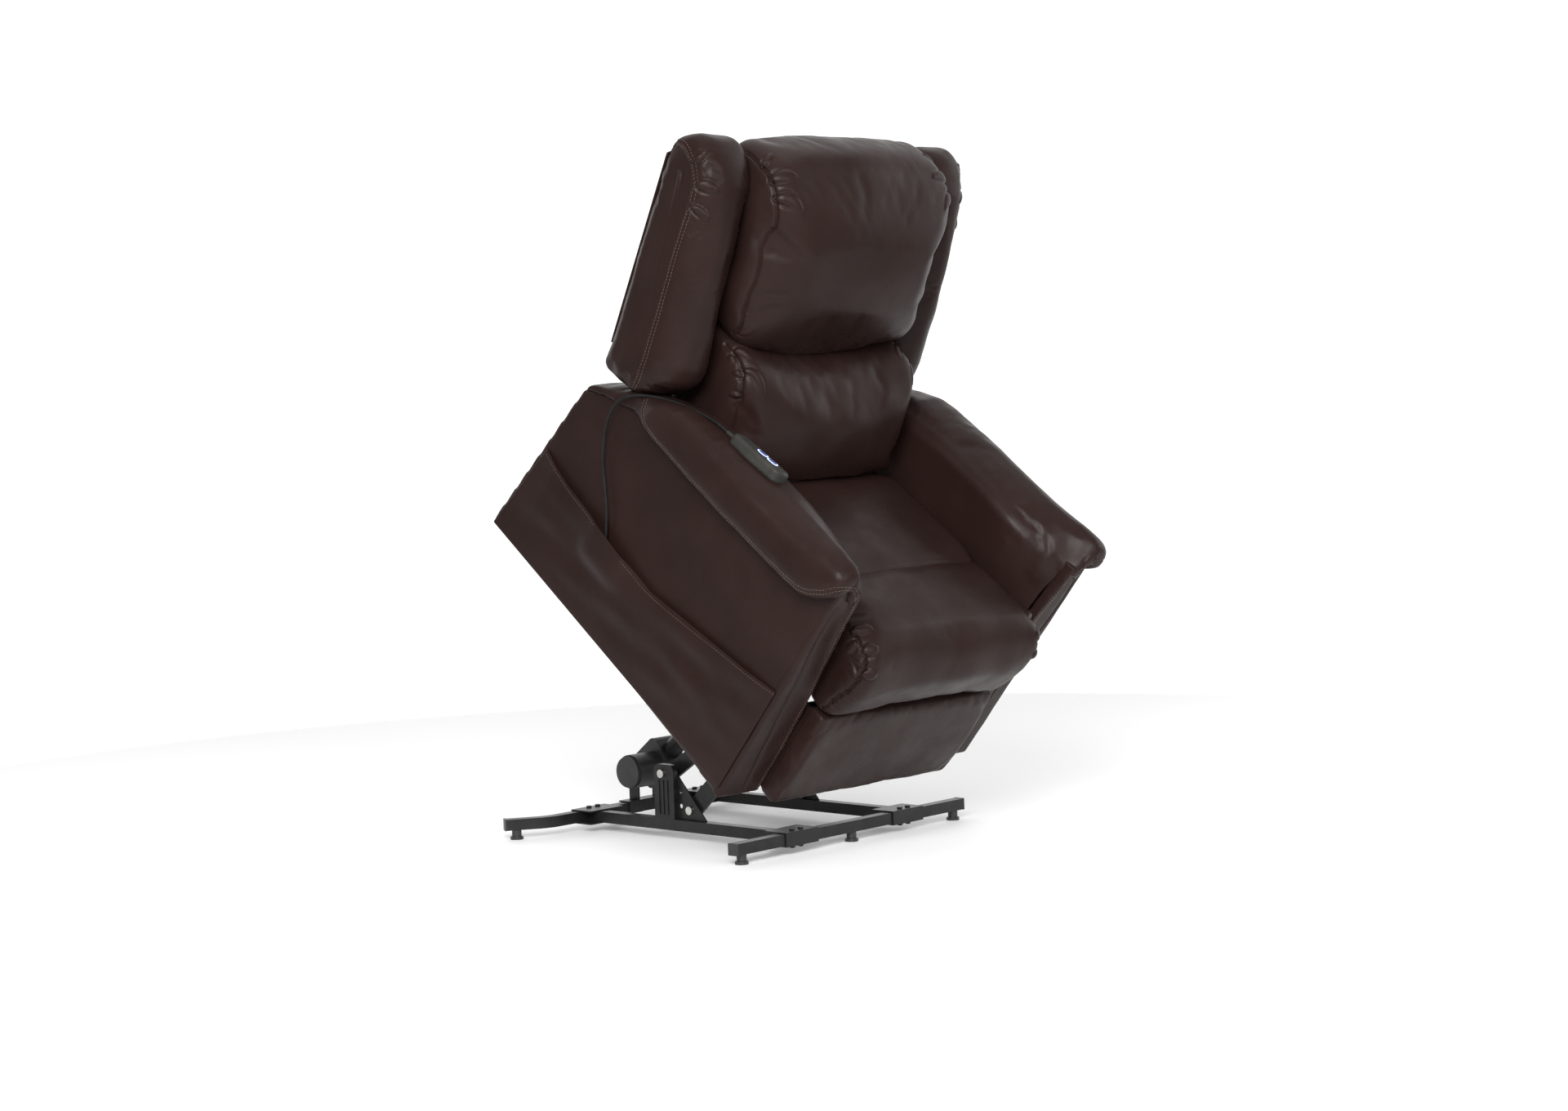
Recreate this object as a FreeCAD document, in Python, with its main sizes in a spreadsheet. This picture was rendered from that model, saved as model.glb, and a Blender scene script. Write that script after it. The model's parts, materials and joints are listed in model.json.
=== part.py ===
import FreeCAD, Part
import math
import os
import re

import Sketcher
from FreeCAD import Placement, Rotation, Vector

# A lift recliner chair, shown raised: a steel base, a four-bar lift driven by one actuator, and an
# upholstered seat unit with arms, a reclining back and a footrest. Millimetres, +Z up, the front faces -Y,
# x = 0 is the plane of symmetry, and the floor is z = 0.

# Driving dimensions, one cell each.
DIMENSIONS = {
    "front_row_y": -144.8,       # row of the front feet
    "raised_tilt": 39.6,         # forward tilt of the seat unit when raised, degrees
    "seat_origin_y": 6.6,        # front bottom corner of the seat unit, from the front feet
    "seat_origin_z": 140.6,
    "tube_side": 23.0,
    "tube_wall": 1.5,
    "tube_low": 20.0,
    "front_bar_length": 690.0,
    "rail_centre": 173.7,
    "rear_bar_y": 586.0,
    "bracket_wall": 3.0,
    "bracket_width": 95.0,
    "bolt_radius": 3.0,
    "bolt_head_radius": 5.5,
    "bolt_hole_radius": 3.2,
    "glide_radius": 13.5,
    "glide_flange": 6.0,
    "gusset_thickness": 3.0,
    "link_thickness": 8.0,
    "pivot_radius": 5.0,
    "pivot_bore": 5.06,
    "clear_bore": 5.2,
    "pivot_head_radius": 8.5,
    "pivot_head": 5.0,
    "rear_link_length": 300.0,
    "rear_link_half_width": 16.5,
    "front_link_length": 281.0,
    "front_link_half_width": 19.0,
    "torque_tube_radius": 12.0,
    "torque_tube_place": 220.0,
    "actuator_tilt": 38.3,
    "actuator_reach": 546.8,
    "actuator_tube_radius": 20.0,
    "actuator_tube_length": 267.0,
    "rod_radius": 12.0,
    "rod_bore": 12.08,
    "rod_length": 280.0,
    "motor_radius": 36.0,
    "motor_length": 76.0,
    "lift_plate": 6.0,
    "cross_tube_radius": 11.0,
    "cross_tube_bore": 11.1,
    "panel_thickness": 20.0,
    "side_outer": 382.0,
    "arm_inner_face": 265.0,
    "arm_inner_thickness": 14.0,
    "arm_front_width": 96.0,
    "seat_half_width": 262.0,
    "back_half_width": 250.0,
    "wing_width": 141.0,
    "back_rake": 14.0,
    "footrest_half_width": 11.0,
    "pocket_wall": 3.0,
    "pocket_depth": 21.7,
    "cord_radius": 3.0,
    "grommet_radius": 5.5,
    "grommet_length": 24.0,
    "button_hole_gap": 0.35,
}

DOC = FreeCAD.newDocument("LiftChair")
SHEET = DOC.addObject("Spreadsheet::Sheet", "Dimensions")
for row, (word, value) in enumerate(DIMENSIONS.items(), start=1):
    SHEET.set("A%d" % row, word)
    SHEET.set("B%d" % row, str(value))
    SHEET.setAlias("B%d" % row, word)
DOC.recompute()

NODES = []


def size(word):
    """The value of one cell."""
    return float(getattr(SHEET, word))


def bound(rule):
    """An expression in which every word is a cell of the sheet."""
    return re.sub(r"[a-z][a-z_]+", lambda word: "Dimensions." + word.group(), rule)


def turned(y, z, angle):
    """A frame at (0, y, z), turned by an angle in degrees about +X."""
    return Placement(Vector(0, y, z), Rotation(Vector(1, 0, 0), angle))


BASE = Placement(Vector(0, size("front_row_y"), 0), Rotation())
SEAT = BASE * turned(size("seat_origin_y"), size("seat_origin_z"), size("raised_tilt"))

# Pivots as (y, z): on the base, and on the seat unit in its own frame.
REAR_BASE_PIVOT = (353.0, 136.0)
FRONT_BASE_PIVOT = (286.0, 63.0)
REAR_LINK_ANGLE = 147.0
FRONT_LINK_ANGLE = 138.0
REAR_SEAT_PIVOT = (174.3, 61.9)
FRONT_SEAT_PIVOT = (124.5, 41.0)
ACTUATOR_BASE_PIVOT = (590.0, 85.0)
ACTUATOR_SEAT_PIVOT = (300.0, 120.0)
RECLINE_PIVOT = (615.0, 410.0)
FOOTREST_LINK_PIVOT = (70.0, 230.0)
FOOTREST_ELBOW = (99.5, 62.6)
FOOTREST_HINGE = (8.0, 100.0)
SIDES = (("left", -1), ("right", 1))


def keep(piece):
    """Marks an object as a sub-part that is written out."""
    NODES.append(piece)
    return piece


def add_box(label, rules, corner, frame):
    """A box from its lowest corner; its sides follow the sheet."""
    solid = DOC.addObject("Part::Box", label)
    for side, rule in zip(("Length", "Width", "Height"), rules):
        solid.setExpression(side, bound(rule))
    solid.Placement = frame * Placement(Vector(*corner), Rotation())
    return solid


def add_rod(label, radius, length, start, direction, frame):
    """A cylinder from a start point along a direction."""
    solid = DOC.addObject("Part::Cylinder", label)
    solid.setExpression("Radius", bound(radius))
    solid.setExpression("Height", bound(length))
    solid.Placement = frame * Placement(Vector(*start), Rotation(Vector(0, 0, 1), Vector(*direction)))
    return solid


def group(label, members):
    """Separate solids that share one sub-part."""
    bundle = DOC.addObject("Part::Compound", label)
    bundle.Links = members
    return bundle


def cut(label, base, tools):
    """One solid less others."""
    result = DOC.addObject("Part::Cut", label)
    result.Base = base
    result.Tool = tools[0] if len(tools) == 1 else group(label + "_tools", tools)
    return result


def fuse(label, members):
    """Overlapping solids joined into one."""
    result = DOC.addObject("Part::MultiFuse", label)
    result.Shapes = members
    return result


def rounded_outline(corners):
    """A closed outline of lines, with an arc at each corner (u, v, radius) that has a radius."""
    turns = []
    for index, corner in enumerate(corners):
        here = Vector(corner[0], corner[1], 0)
        radius = corner[2] if len(corner) > 2 else 0
        before = Vector(*corners[index - 1][:2], 0)
        after = Vector(*corners[(index + 1) % len(corners)][:2], 0)
        to_before = (before - here).normalize()
        to_after = (after - here).normalize()
        half = to_before.getAngle(to_after) / 2
        reach = radius / math.tan(half)
        bisector = (to_before + to_after).normalize() if half < math.pi / 2 - 1e-6 else Vector()
        middle = here + bisector * (radius / math.sin(half) - radius)
        turns.append((here + to_before * reach, middle, here + to_after * reach, radius))
    edges = []
    for index, (start, middle, end, radius) in enumerate(turns):
        if radius:
            edges.append(Part.ArcOfCircle(start, middle, end))
        onward = turns[(index + 1) % len(turns)][0]
        if (onward - end).Length > 0.001:
            edges.append(Part.LineSegment(end, onward))
    return edges


def sketch_on(body, role, outline, holes=()):
    """A sketch on one of the body's origin planes, with round holes (u, v, radius rule)."""
    plane = next(item for item in body.Origin.OriginFeatures if item.Role == role)
    sketch = body.newObject("Sketcher::SketchObject", body.Name + "_sketch")
    sketch.AttachmentSupport = (plane, [""])
    sketch.MapMode = "FlatFace"
    sketch.addGeometry(rounded_outline(outline), False)
    for u, v, rule in holes:
        ring = sketch.addGeometry(Part.Circle(Vector(u, v, 0), Vector(0, 0, 1), 5), False)
        limit = sketch.addConstraint(Sketcher.Constraint("Radius", ring, 5.0))
        sketch.setExpression("Constraints[%d]" % limit, bound(rule))
    return sketch


def plate(label, outline, x_low, thickness, frame, holes=()):
    """A padded sketch in the (y, z) plane, from x_low towards +X."""
    body = DOC.addObject("PartDesign::Body", label)
    pad = body.newObject("PartDesign::Pad", label + "_pad")
    pad.Profile = sketch_on(body, "YZ_Plane", outline, holes)
    pad.setExpression("Length", bound(thickness))
    body.Placement = frame * Placement(Vector(x_low, 0, 0), Rotation())
    return body


def side_plate(label, outline, x_near, thickness, frame, side, holes=()):
    """A plate whose near face is x_near from the middle, on the left (-1) or right (+1)."""
    x_low = x_near if side > 0 else -x_near - thickness_of(thickness)
    return plate(label, outline, x_low, thickness, frame, holes)


def thickness_of(rule):
    """The value of a thickness given as a cell's name or a number."""
    return size(rule) if rule in DIMENSIONS else float(rule)


def pin(label, x_near, length, place, frame, side, radius="pivot_radius"):
    """A round pin along X at (y, z), from x_near outwards on one side."""
    return add_rod(label, radius, length, (side * x_near, place[0], place[1]), (side, 0, 0), frame)


def headed_bolt(label, x_near, x_far, place, frame, side, outer_head=True, inner_head=True):
    """A pivot bolt between x_near and x_far, with a head outside, a nut inside, or both."""
    near = x_near - 1 if inner_head else x_near
    far = x_far + 1 if outer_head else x_far
    members = [pin(label + "_shank", near, str(far - near), place, frame, side)]
    if outer_head:
        members.append(pin(label + "_head", x_far, "pivot_head", place, frame, side, "pivot_head_radius"))
    if inner_head:
        members.append(pin(label + "_nut", x_near - size("pivot_head"), "pivot_head", place, frame, side,
                           "pivot_head_radius"))
    return fuse(label, members) if len(members) > 1 else members[0]


def capsule(start, end, half_width):
    """Outline of a link with round ends: (y, z, radius) corners."""
    along = Vector(end[0] - start[0], end[1] - start[1], 0).normalize()
    across = Vector(-along.y, along.x, 0)
    corners = []
    for place, way in ((start, -1), (end, 1)):
        for turn in (way, -way):
            spot = Vector(*place, 0) + along * (way * half_width) + across * (turn * half_width)
            corners.append((spot.x, spot.y, half_width * 0.98))
    return [corners[1], corners[0], corners[3], corners[2]]


def polar(start, length, angle):
    """The (y, z) point at a distance and angle, in degrees from +Y towards +Z."""
    return (start[0] + length * math.cos(math.radians(angle)),
            start[1] + length * math.sin(math.radians(angle)))


# ---------------------------------------------------------------- base

BOLT_PLACES = (152.4, 177.5)
FRONT_BAR_Y = 2.0               # the front bar's centre line, behind the row of feet
REAR_BOLT_SHIFT = 5.0           # the rear bolts stand nearer to the middle than the front ones
BRACKET_REACH = 58.0            # how far a corner bracket runs along its rail
REAR_BEND = 290.0               # where the rear bar leaves its straight middle
REAR_END = (364.0, 635.0)


def tube_along(label, points, side, height, low):
    """A square tube or core swept along a bent centre line in the floor plane."""
    path = Part.Wire([edge.toShape() for edge in points])
    start = path.Edges[0].firstVertex().Point
    if (start - path.Edges[1].firstVertex().Point).Length < 0.01:
        start = path.Edges[0].lastVertex().Point
    along = path.Edges[0].tangentAt(path.Edges[0].FirstParameter)
    across = Vector(-along.y, along.x, 0) * (side / 2)
    corners = [start + across + Vector(0, 0, low), start - across + Vector(0, 0, low),
               start - across + Vector(0, 0, low + height), start + across + Vector(0, 0, low + height)]
    profile = Part.makePolygon(corners + corners[:1])
    return path.makePipeShell([profile], True, True)


def rear_bar_path(extra):
    """The rear bar's centre line from its left end to its right end."""
    y = size("rear_bar_y")
    corner = Vector(REAR_BEND, y, 0)
    along = (Vector(REAR_END[0], REAR_END[1], 0) - corner).normalize()
    tip = Vector(REAR_END[0], REAR_END[1], 0) + along * extra
    reach = 26.0
    flat = corner - Vector(reach, 0, 0)
    bent = corner + along * reach
    half = math.atan2(along.y, along.x) / 2

    def other(point):
        return Vector(-point.x, point.y, 0)

    radius = reach / math.tan(half)
    centre = flat + Vector(0, radius, 0)
    middle = centre + Vector(math.sin(half), -math.cos(half), 0) * radius
    return [Part.LineSegment(other(tip), other(bent)), Part.Arc(other(bent), other(middle), other(flat)),
            Part.LineSegment(other(flat), flat), Part.Arc(flat, middle, bent), Part.LineSegment(bent, tip)]


def build_crossbars():
    side = size("tube_side")
    low = size("tube_low")
    length = size("front_bar_length")
    outer = add_box("front_bar_outer", ("front_bar_length", "tube_side", "tube_side"),
                    (-length / 2, FRONT_BAR_Y - side / 2, low), BASE)
    wall = size("tube_wall")
    core = add_box("front_bar_core", ("front_bar_length + 2", "tube_side - 2 * tube_wall",
                                      "tube_side - 2 * tube_wall"),
                   (-length / 2 - 1, FRONT_BAR_Y - side / 2 + wall, low + wall), BASE)
    holes = [add_rod("front_bar_hole", "bolt_hole_radius", "60", (way * x, FRONT_BAR_Y, 0), (0, 0, 1),
                     BASE) for way in (-1, 1) for x in BOLT_PLACES]
    keep(cut("front_crossbar", outer, [core] + holes))

    bar = DOC.addObject("Part::Feature", "rear_bar_tube")
    skin = tube_along("rear", rear_bar_path(0), side, side, low)
    inside = tube_along("rear", rear_bar_path(5), side - 2 * wall, side - 2 * wall, low + wall)
    bar.Shape = skin.cut(inside)
    bar.Placement = BASE
    holes = [add_rod("rear_bar_hole", "bolt_hole_radius", "60",
                     (way * (x - REAR_BOLT_SHIFT), size("rear_bar_y"), 0), (0, 0, 1), BASE)
             for way in (-1, 1) for x in BOLT_PLACES]
    keep(cut("rear_crossbar", bar, holes))


def build_side_rails():
    side = size("tube_side")
    start = FRONT_BAR_Y + side / 2
    length = size("rear_bar_y") - side / 2 - start
    rails = []
    for name, way in SIDES:
        low_x = way * size("rail_centre") - side / 2
        outer = add_box("rail_outer_" + name, ("tube_side", str(length), "tube_side"),
                        (low_x, start, size("tube_low")), BASE)
        wall = size("tube_wall")
        core = add_box("rail_core_" + name, ("tube_side - 2 * tube_wall", str(length + 2),
                                             "tube_side - 2 * tube_wall"),
                       (low_x + wall, start - 1, size("tube_low") + wall), BASE)
        rails.append(cut("rail_" + name, outer, [core]))
    keep(group("side_rails", rails))


def build_end_caps():
    side = size("tube_side")
    mid = size("tube_low") + side / 2
    caps = []
    along = Vector(REAR_END[0] - REAR_BEND, REAR_END[1] - size("rear_bar_y"), 0)
    swing = math.degrees(math.atan2(along.y, along.x))
    ends = (("front", size("front_bar_length") / 2, FRONT_BAR_Y, 0.0),
            ("rear", REAR_END[0], REAR_END[1], swing))
    for name, x, y, angle in ends:
        for way in (-1, 1):
            turn = angle if way > 0 else 180 - angle
            place = BASE * Placement(Vector(way * x, y, mid), Rotation(Vector(0, 0, 1), turn))
            cap = add_box("cap_%s" % name, ("4", "tube_side + 1", "tube_side + 1"),
                          (0.02, -(side + 1) / 2, -(side + 1) / 2), place)
            caps.append(cap)
    keep(group("crossbar_end_caps", caps))


def build_glides():
    feet = []
    rear_x = 346.0
    slope = (REAR_END[1] - size("rear_bar_y")) / (REAR_END[0] - REAR_BEND)
    rear_y = size("rear_bar_y") + (rear_x - REAR_BEND) * slope
    front = [(x, FRONT_BAR_Y) for x in (-324, 0, 324)]
    for x, y in front + [(-rear_x, rear_y), (rear_x, rear_y)]:
        flange = add_rod("foot_flange", "glide_radius", "glide_flange", (x, y, 0), (0, 0, 1), BASE)
        neck = add_rod("foot_neck", "glide_radius - 3.5", "tube_low - glide_flange / 2",
                       (x, y, size("glide_flange") / 2), (0, 0, 1), BASE)
        feet.append(fuse("foot", [flange, neck]))
    keep(group("floor_glides", feet))


def build_corner_brackets():
    side = size("tube_side")
    wall = size("bracket_wall")
    low = size("tube_low")
    brackets = []
    bolts = []
    for row, y, way in (("front", FRONT_BAR_Y, 1), ("rear", size("rear_bar_y"), -1)):
        for name, across in SIDES:
            x_low = 115 if across > 0 else -210
            web = y - way * (side / 2 + wall)
            y_low = min(web, web + way * BRACKET_REACH)
            outer = add_box("bracket_outer", ("bracket_width", str(BRACKET_REACH),
                                              "tube_side + 2 * bracket_wall"),
                            (x_low, y_low, low - wall), BASE)
            inside_low = y_low + (wall if way > 0 else -10)
            core = add_box("bracket_core", ("bracket_width + 2",
                                            "%g - bracket_wall + 10" % BRACKET_REACH, "tube_side"),
                           (x_low - 1, inside_low, low), BASE)
            shift = 0 if row == "front" else -REAR_BOLT_SHIFT
            spots = [(across * (x + shift), y) for x in BOLT_PLACES]
            holes = [add_rod("bracket_hole", "bolt_hole_radius", "80", (x, at, 0), (0, 0, 1), BASE)
                     for x, at in spots]
            brackets.append(cut("bracket_" + row + "_" + name, outer, [core] + holes))
            for x, at in spots:
                shank = add_rod("corner_shank", "bolt_radius", "38", (x, at, 11), (0, 0, 1), BASE)
                head = add_rod("corner_head", "bolt_head_radius", "4", (x, at, low + side + wall),
                               (0, 0, 1), BASE)
                nut = add_rod("corner_nut", "bolt_head_radius", "5", (x, at, 12), (0, 0, 1), BASE)
                bolts.append(fuse("corner_bolt", [shank, head, nut]))
    keep(group("corner_brackets", brackets))
    keep(group("corner_bolts", bolts))


GUSSET = ((240, 43), (326, 141, 6), (338, 155, 10), (376, 155, 14), (376, 43))
CHANNEL = ((320, 43), (320, 155, 14), (376, 155, 14), (376, 43))
CHANNEL_CORE = ((325, 30), (325, 150, 10), (371, 150, 10), (371, 30))


def build_lift_brackets():
    """Gusset plate on the rail, with a pressed channel along its rear edge."""
    for name, way in SIDES:
        windows = ((312, 98, "5"), (312, 70, "5"))
        bores = ((*REAR_BASE_PIVOT, "clear_bore"), (*FRONT_BASE_PIVOT, "clear_bore"))
        sheet = side_plate("gusset_" + name, GUSSET, 170, "gusset_thickness", BASE, way, bores + windows)
        channel = side_plate("channel_" + name, CHANNEL, 172, "13", BASE, way,
                             ((*REAR_BASE_PIVOT, "clear_bore"),))
        core = side_plate("channel_core_" + name, CHANNEL_CORE, 173, "10", BASE, way)
        hollow = cut("stanchion_" + name, channel, [core])
        ribs = [add_box("rib", ("2", "4", "70"), (way * 186 - 1, y, 52), BASE) for y in (336, 348, 360)]
        keep(fuse("lift_bracket_" + name, [sheet, hollow] + ribs))


def build_base_bolts():
    bolts = []
    for name, way in SIDES:
        bolts.append(headed_bolt("rear_pivot_bolt_" + name, 145.5, 185.2, REAR_BASE_PIVOT, BASE, way))
        bolts.append(headed_bolt("front_pivot_bolt_" + name, 157.5, 173.2, FRONT_BASE_PIVOT, BASE, way))
    shaft = add_rod("actuator_pin_shank", "pivot_radius", "80", (-39, *ACTUATOR_BASE_PIVOT), (1, 0, 0), BASE)
    heads = [add_rod("actuator_pin_head", "pivot_head_radius", "4", (x, *ACTUATOR_BASE_PIVOT), (1, 0, 0),
                     BASE) for x in (-39, 39.2)]
    bolts.append(fuse("actuator_rear_pin", [shaft] + heads))
    keep(group("base_pivot_bolts", bolts))


CHEEK = ((576, 45), (576, 99, 13), (604, 99, 13), (604, 45))


def build_actuator_bracket():
    top = size("tube_low") + size("tube_side")
    foot = add_box("fork_foot", ("110", "30", "bracket_wall"), (-66, 574.5, top), BASE)
    web = add_box("fork_web", ("39", "bracket_wall", "26"), (-66, 571.4, top - 23), BASE)
    lip = add_box("fork_lip", ("39", "6", "bracket_wall"), (-66, 571.4, top), BASE)
    bore = ((*ACTUATOR_BASE_PIVOT, "clear_bore"),)
    cheeks = [plate("fork_cheek_%d" % number, CHEEK, x, "4", BASE, bore)
              for number, x in enumerate((-34.5, 34.5))]
    keep(fuse("actuator_bracket", [foot, web, lip] + cheeks))


# ---------------------------------------------------------------- lift linkage

def build_links():
    rear_top = polar(REAR_BASE_PIVOT, size("rear_link_length"), REAR_LINK_ANGLE)
    front_top = polar(FRONT_BASE_PIVOT, size("front_link_length"), FRONT_LINK_ANGLE)
    rear_shape = capsule(REAR_BASE_PIVOT, rear_top, size("rear_link_half_width"))
    front_shape = capsule(FRONT_BASE_PIVOT, front_top, size("front_link_half_width"))
    tube_at = polar(REAR_BASE_PIVOT, size("torque_tube_place"), REAR_LINK_ANGLE)
    bolts = []
    for name, way in SIDES:
        bores = ((*REAR_BASE_PIVOT, "pivot_bore"), (*rear_top, "pivot_bore"))
        keep(side_plate("rear_lift_link_" + name, rear_shape, 146, "link_thickness", BASE, way, bores))
        bores = ((*FRONT_BASE_PIVOT, "pivot_bore"), (*front_top, "clear_bore"))
        keep(side_plate("front_lift_link_" + name, front_shape, 158, "link_thickness", BASE, way, bores))
        bolts.append(headed_bolt("front_top_bolt_" + name, 142.8, 166.2, front_top, BASE, way,
                                 inner_head=False))
    keep(group("front_link_bolts", bolts))
    tube = add_rod("torque_outer", "torque_tube_radius", "291.9", (-145.95, *tube_at), (1, 0, 0), BASE)
    core = add_rod("torque_core", "torque_tube_radius - 2.5", "300", (-150, *tube_at), (1, 0, 0), BASE)
    keep(cut("lift_torque_tube", tube, [core]))


# ---------------------------------------------------------------- actuator
# Its frame starts at the rear pin; the actuator runs along -Y of that frame.

ACTUATOR = BASE * turned(*ACTUATOR_BASE_PIVOT, -size("actuator_tilt"))
GEARBOX = ((-105, -38, 8), (-105, 45, 14), (-24, 45, 14), (-12, 12, 4), (14, 12, 8), (14, -12, 8),
           (-12, -12, 4), (-24, -38, 8))


def build_actuator():
    bore = ((0, 0, "pivot_bore"),)
    keep(plate("actuator_gearbox", GEARBOX, -25, "55", ACTUATOR, bore))
    motor = add_rod("motor_can", "motor_radius", "motor_length - 8", (-25.02, -58, -7), (-1, 0, 0), ACTUATOR)
    cap = add_rod("motor_cap", "motor_radius - 3", "10", (-91, -58, -7), (-1, 0, 0), ACTUATOR)
    keep(fuse("motor_housing", [motor, cap]))
    start = (2.5, -105.02, 3)
    tube = add_rod("tube_outer", "actuator_tube_radius", "actuator_tube_length", start, (0, -1, 0), ACTUATOR)
    core = add_rod("tube_bore", "rod_bore", "actuator_tube_length + 2", start, (0, -1, 0), ACTUATOR)
    core.Placement = core.Placement * Placement(Vector(0, 0, -1), Rotation())
    keep(cut("actuator_tube", tube, [core]))
    reach = size("actuator_reach")
    rod_start = reach - 32 - size("rod_length")
    keep(add_rod("actuator_rod", "rod_radius", "rod_length", (2.5, -rod_start, 3), (0, -1, 0), ACTUATOR))
    block = add_box("clevis_block", ("30", "15", "26"), (-12.5, -reach + 17, -11.5), ACTUATOR)
    cheek = ((-reach + 17, -12), (-reach - 13, -12, 11), (-reach - 13, 12, 11), (-reach + 17, 12))
    arms = [plate("clevis_arm_%d" % number, cheek, x, "7", ACTUATOR)
            for number, x in enumerate((-12.5, 10.5))]
    studs = [add_rod("clevis_stud", "pivot_radius", "8", (x, -reach, 0), (way, 0, 0), ACTUATOR)
             for x, way in ((-10, -1), (15, 1))]
    keep(fuse("rod_clevis", [block] + arms + studs))


# ---------------------------------------------------------------- seat unit: steel and wood

LIFT_PLATE = ((106, 18, 12), (196, 34, 14), (214, 82, 20), (238, 128, 20), (274, 106, 16), (326, 100, 14),
              (332, 236, 14), (86, 236, 14), (86, 60, 14))


def build_lift_frames():
    bores = ((*REAR_SEAT_PIVOT, "clear_bore"), (*FRONT_SEAT_PIVOT, "clear_bore"),
             (110, 220, "cross_tube_bore"), (310, 220, "cross_tube_bore"), (262, 152, "cross_tube_bore"))
    bolts = []
    for name, way in SIDES:
        keep(side_plate("lift_frame_" + name, LIFT_PLATE, 136, "lift_plate", SEAT, way, bores))
        bolts.append(headed_bolt("seat_bolt_" + name, 135.5, 154.3, REAR_SEAT_PIVOT, SEAT, way,
                                 outer_head=False))
    keep(group("seat_pivot_bolts", bolts))
    tubes = []
    for y in (110, 310):
        outer = add_rod("cross_outer", "cross_tube_radius", "462", (-231, y, 220), (1, 0, 0), SEAT)
        core = add_rod("cross_core", "cross_tube_radius - 2", "470", (-235, y, 220), (1, 0, 0), SEAT)
        tubes.append(cut("cross_tube", outer, [core]))
    keep(group("seat_cross_tubes", tubes))
    bar = add_rod("mount_bar", "cross_tube_radius", "271", (-135.5, 262, 152), (1, 0, 0), SEAT)
    lug_shape = capsule((262, 152), ACTUATOR_SEAT_PIVOT, 10.5)
    lug = plate("mount_lug", lug_shape, -3, "11", SEAT)
    keep(fuse("actuator_mount", [bar, lug]))


def build_seat_frame():
    """Wooden box under the cushion, its springs, and the plates that carry the mechanism."""
    outer = add_box("frame_outer", ("464", "458", "80"), (-232, 22, 246), SEAT)
    core = add_box("frame_core", ("424", "418", "100"), (-212, 42, 236), SEAT)
    notches = [add_box("frame_notch", ("480", "24", "30"), (-240, y - 12, 220), SEAT) for y in (110, 310)]
    keep(cut("seat_frame", outer, [core] + notches))
    springs = []
    for number in range(5):
        springs.append(sinuous_spring(-160 + 80 * number))
    keep(group("seat_springs", springs))
    plates = []
    for name, way in SIDES:
        recline = ((452, 262), (600, 396, 8), (602, 428, 10), (630, 428, 12), (630, 392, 12), (478, 250))
        plates.append(side_plate("recline_plate_" + name, recline, 232.2, "5", SEAT, way))
        plates.append(pin("recline_pin_" + name, 236.5, "13", RECLINE_PIVOT, SEAT, way, "pivot_radius"))
        foot = ((52, 216, 12), (88, 216, 12), (100, 300), (44, 300))
        plates.append(side_plate("footrest_plate_" + name, foot, 205.5, "5", SEAT, way))
        plates.append(pin("footrest_pin_" + name, 192.5, "14", FOOTREST_LINK_PIVOT, SEAT, way))
    recline_sides = [fuse("recline_mount_" + name, plates[at:at + 2])
                     for name, at in (("left", 0), ("right", 4))]
    footrest_sides = [fuse("footrest_mount_" + name, plates[at:at + 2])
                      for name, at in (("left", 2), ("right", 6))]
    keep(group("mechanism_plates", recline_sides + footrest_sides))


def sinuous_spring(x):
    """A zigzag wire with round bends across the seat frame."""
    half = 18.0
    step = 26.0
    edges = []
    place = Vector(x - half, 46, 322)
    turns = 15
    for number in range(turns):
        way = 1 if number % 2 == 0 else -1
        across = place + Vector(way * (2 * half - step), 0, 0)
        edges.append(Part.LineSegment(place, across).toShape())
        bulge = across + Vector(way * step / 2, step / 2, 0)
        onward = across + Vector(0, step, 0)
        if number < turns - 1:
            edges.append(Part.Arc(across, bulge, onward).toShape())
        place = onward
    path = Part.Wire(edges)
    ring = Part.Wire(Part.Circle(Vector(x - half, 46, 322), Vector(1, 0, 0), 1.8).toShape())
    wire = DOC.addObject("Part::Feature", "spring")
    wire.Shape = path.makePipeShell([ring], True, True)
    wire.Placement = SEAT
    return wire


# ---------------------------------------------------------------- seat unit: upholstered panels

SIDE_PANEL = ((0, 0, 4), (300, 8), (813, 9, 8), (755, 402, 12), (640, 444), (572, 475), (508, 489),
              (0, 489, 4))
ARM_FRONT = ((0.4, -6), (0.4, 490), (16, 490), (16, -6))
ARM_INNER = ((18, 12), (18, 490), (508, 490), (572, 477), (640, 445), (730, 404, 10), (770, 14))
APRON = ((793, 14), (811, 14), (756, 392), (738, 392))
# Along the arm: y, height of the crown, inner edge and lip, underside, and how far the lip reaches out.
ARM_STATIONS = ((-16, 552, 500, 506, 492, 408), (10, 574, 503, 497, 492, 418),
                (60, 577, 509, 489, 492, 420), (130, 569, 521, 482, 492, 420),
                (230, 564, 530, 472, 492, 420), (330, 559, 529, 463, 492, 420),
                (430, 553, 521, 457, 492, 420), (510, 538, 512, 455, 492, 418),
                (575, 508, 500, 470, 480, 402), (640, 474, 466, 452, 449, 388),
                (700, 446, 440, 428, 425, 386), (748, 421, 417, 411, 408, 386))
SEAT_PROFILE = ((-45, 229, 5), (-55, 246), (-62, 266), (-84, 320, 20), (-86, 372, 25), (-52, 412, 30),
                (60, 424), (146, 422), (300, 414), (452, 404, 10), (452, 330, 6), (14, 330, 6), (-2, 229, 5))
POCKET = ((6, 22, 12), (782, 26, 12), (779, 237), (664, 219), (564, 217), (365, 203), (6, 266))
POCKET_CORE = ((9, 25, 12), (779, 29, 12), (779, 300), (9, 300))
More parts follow.
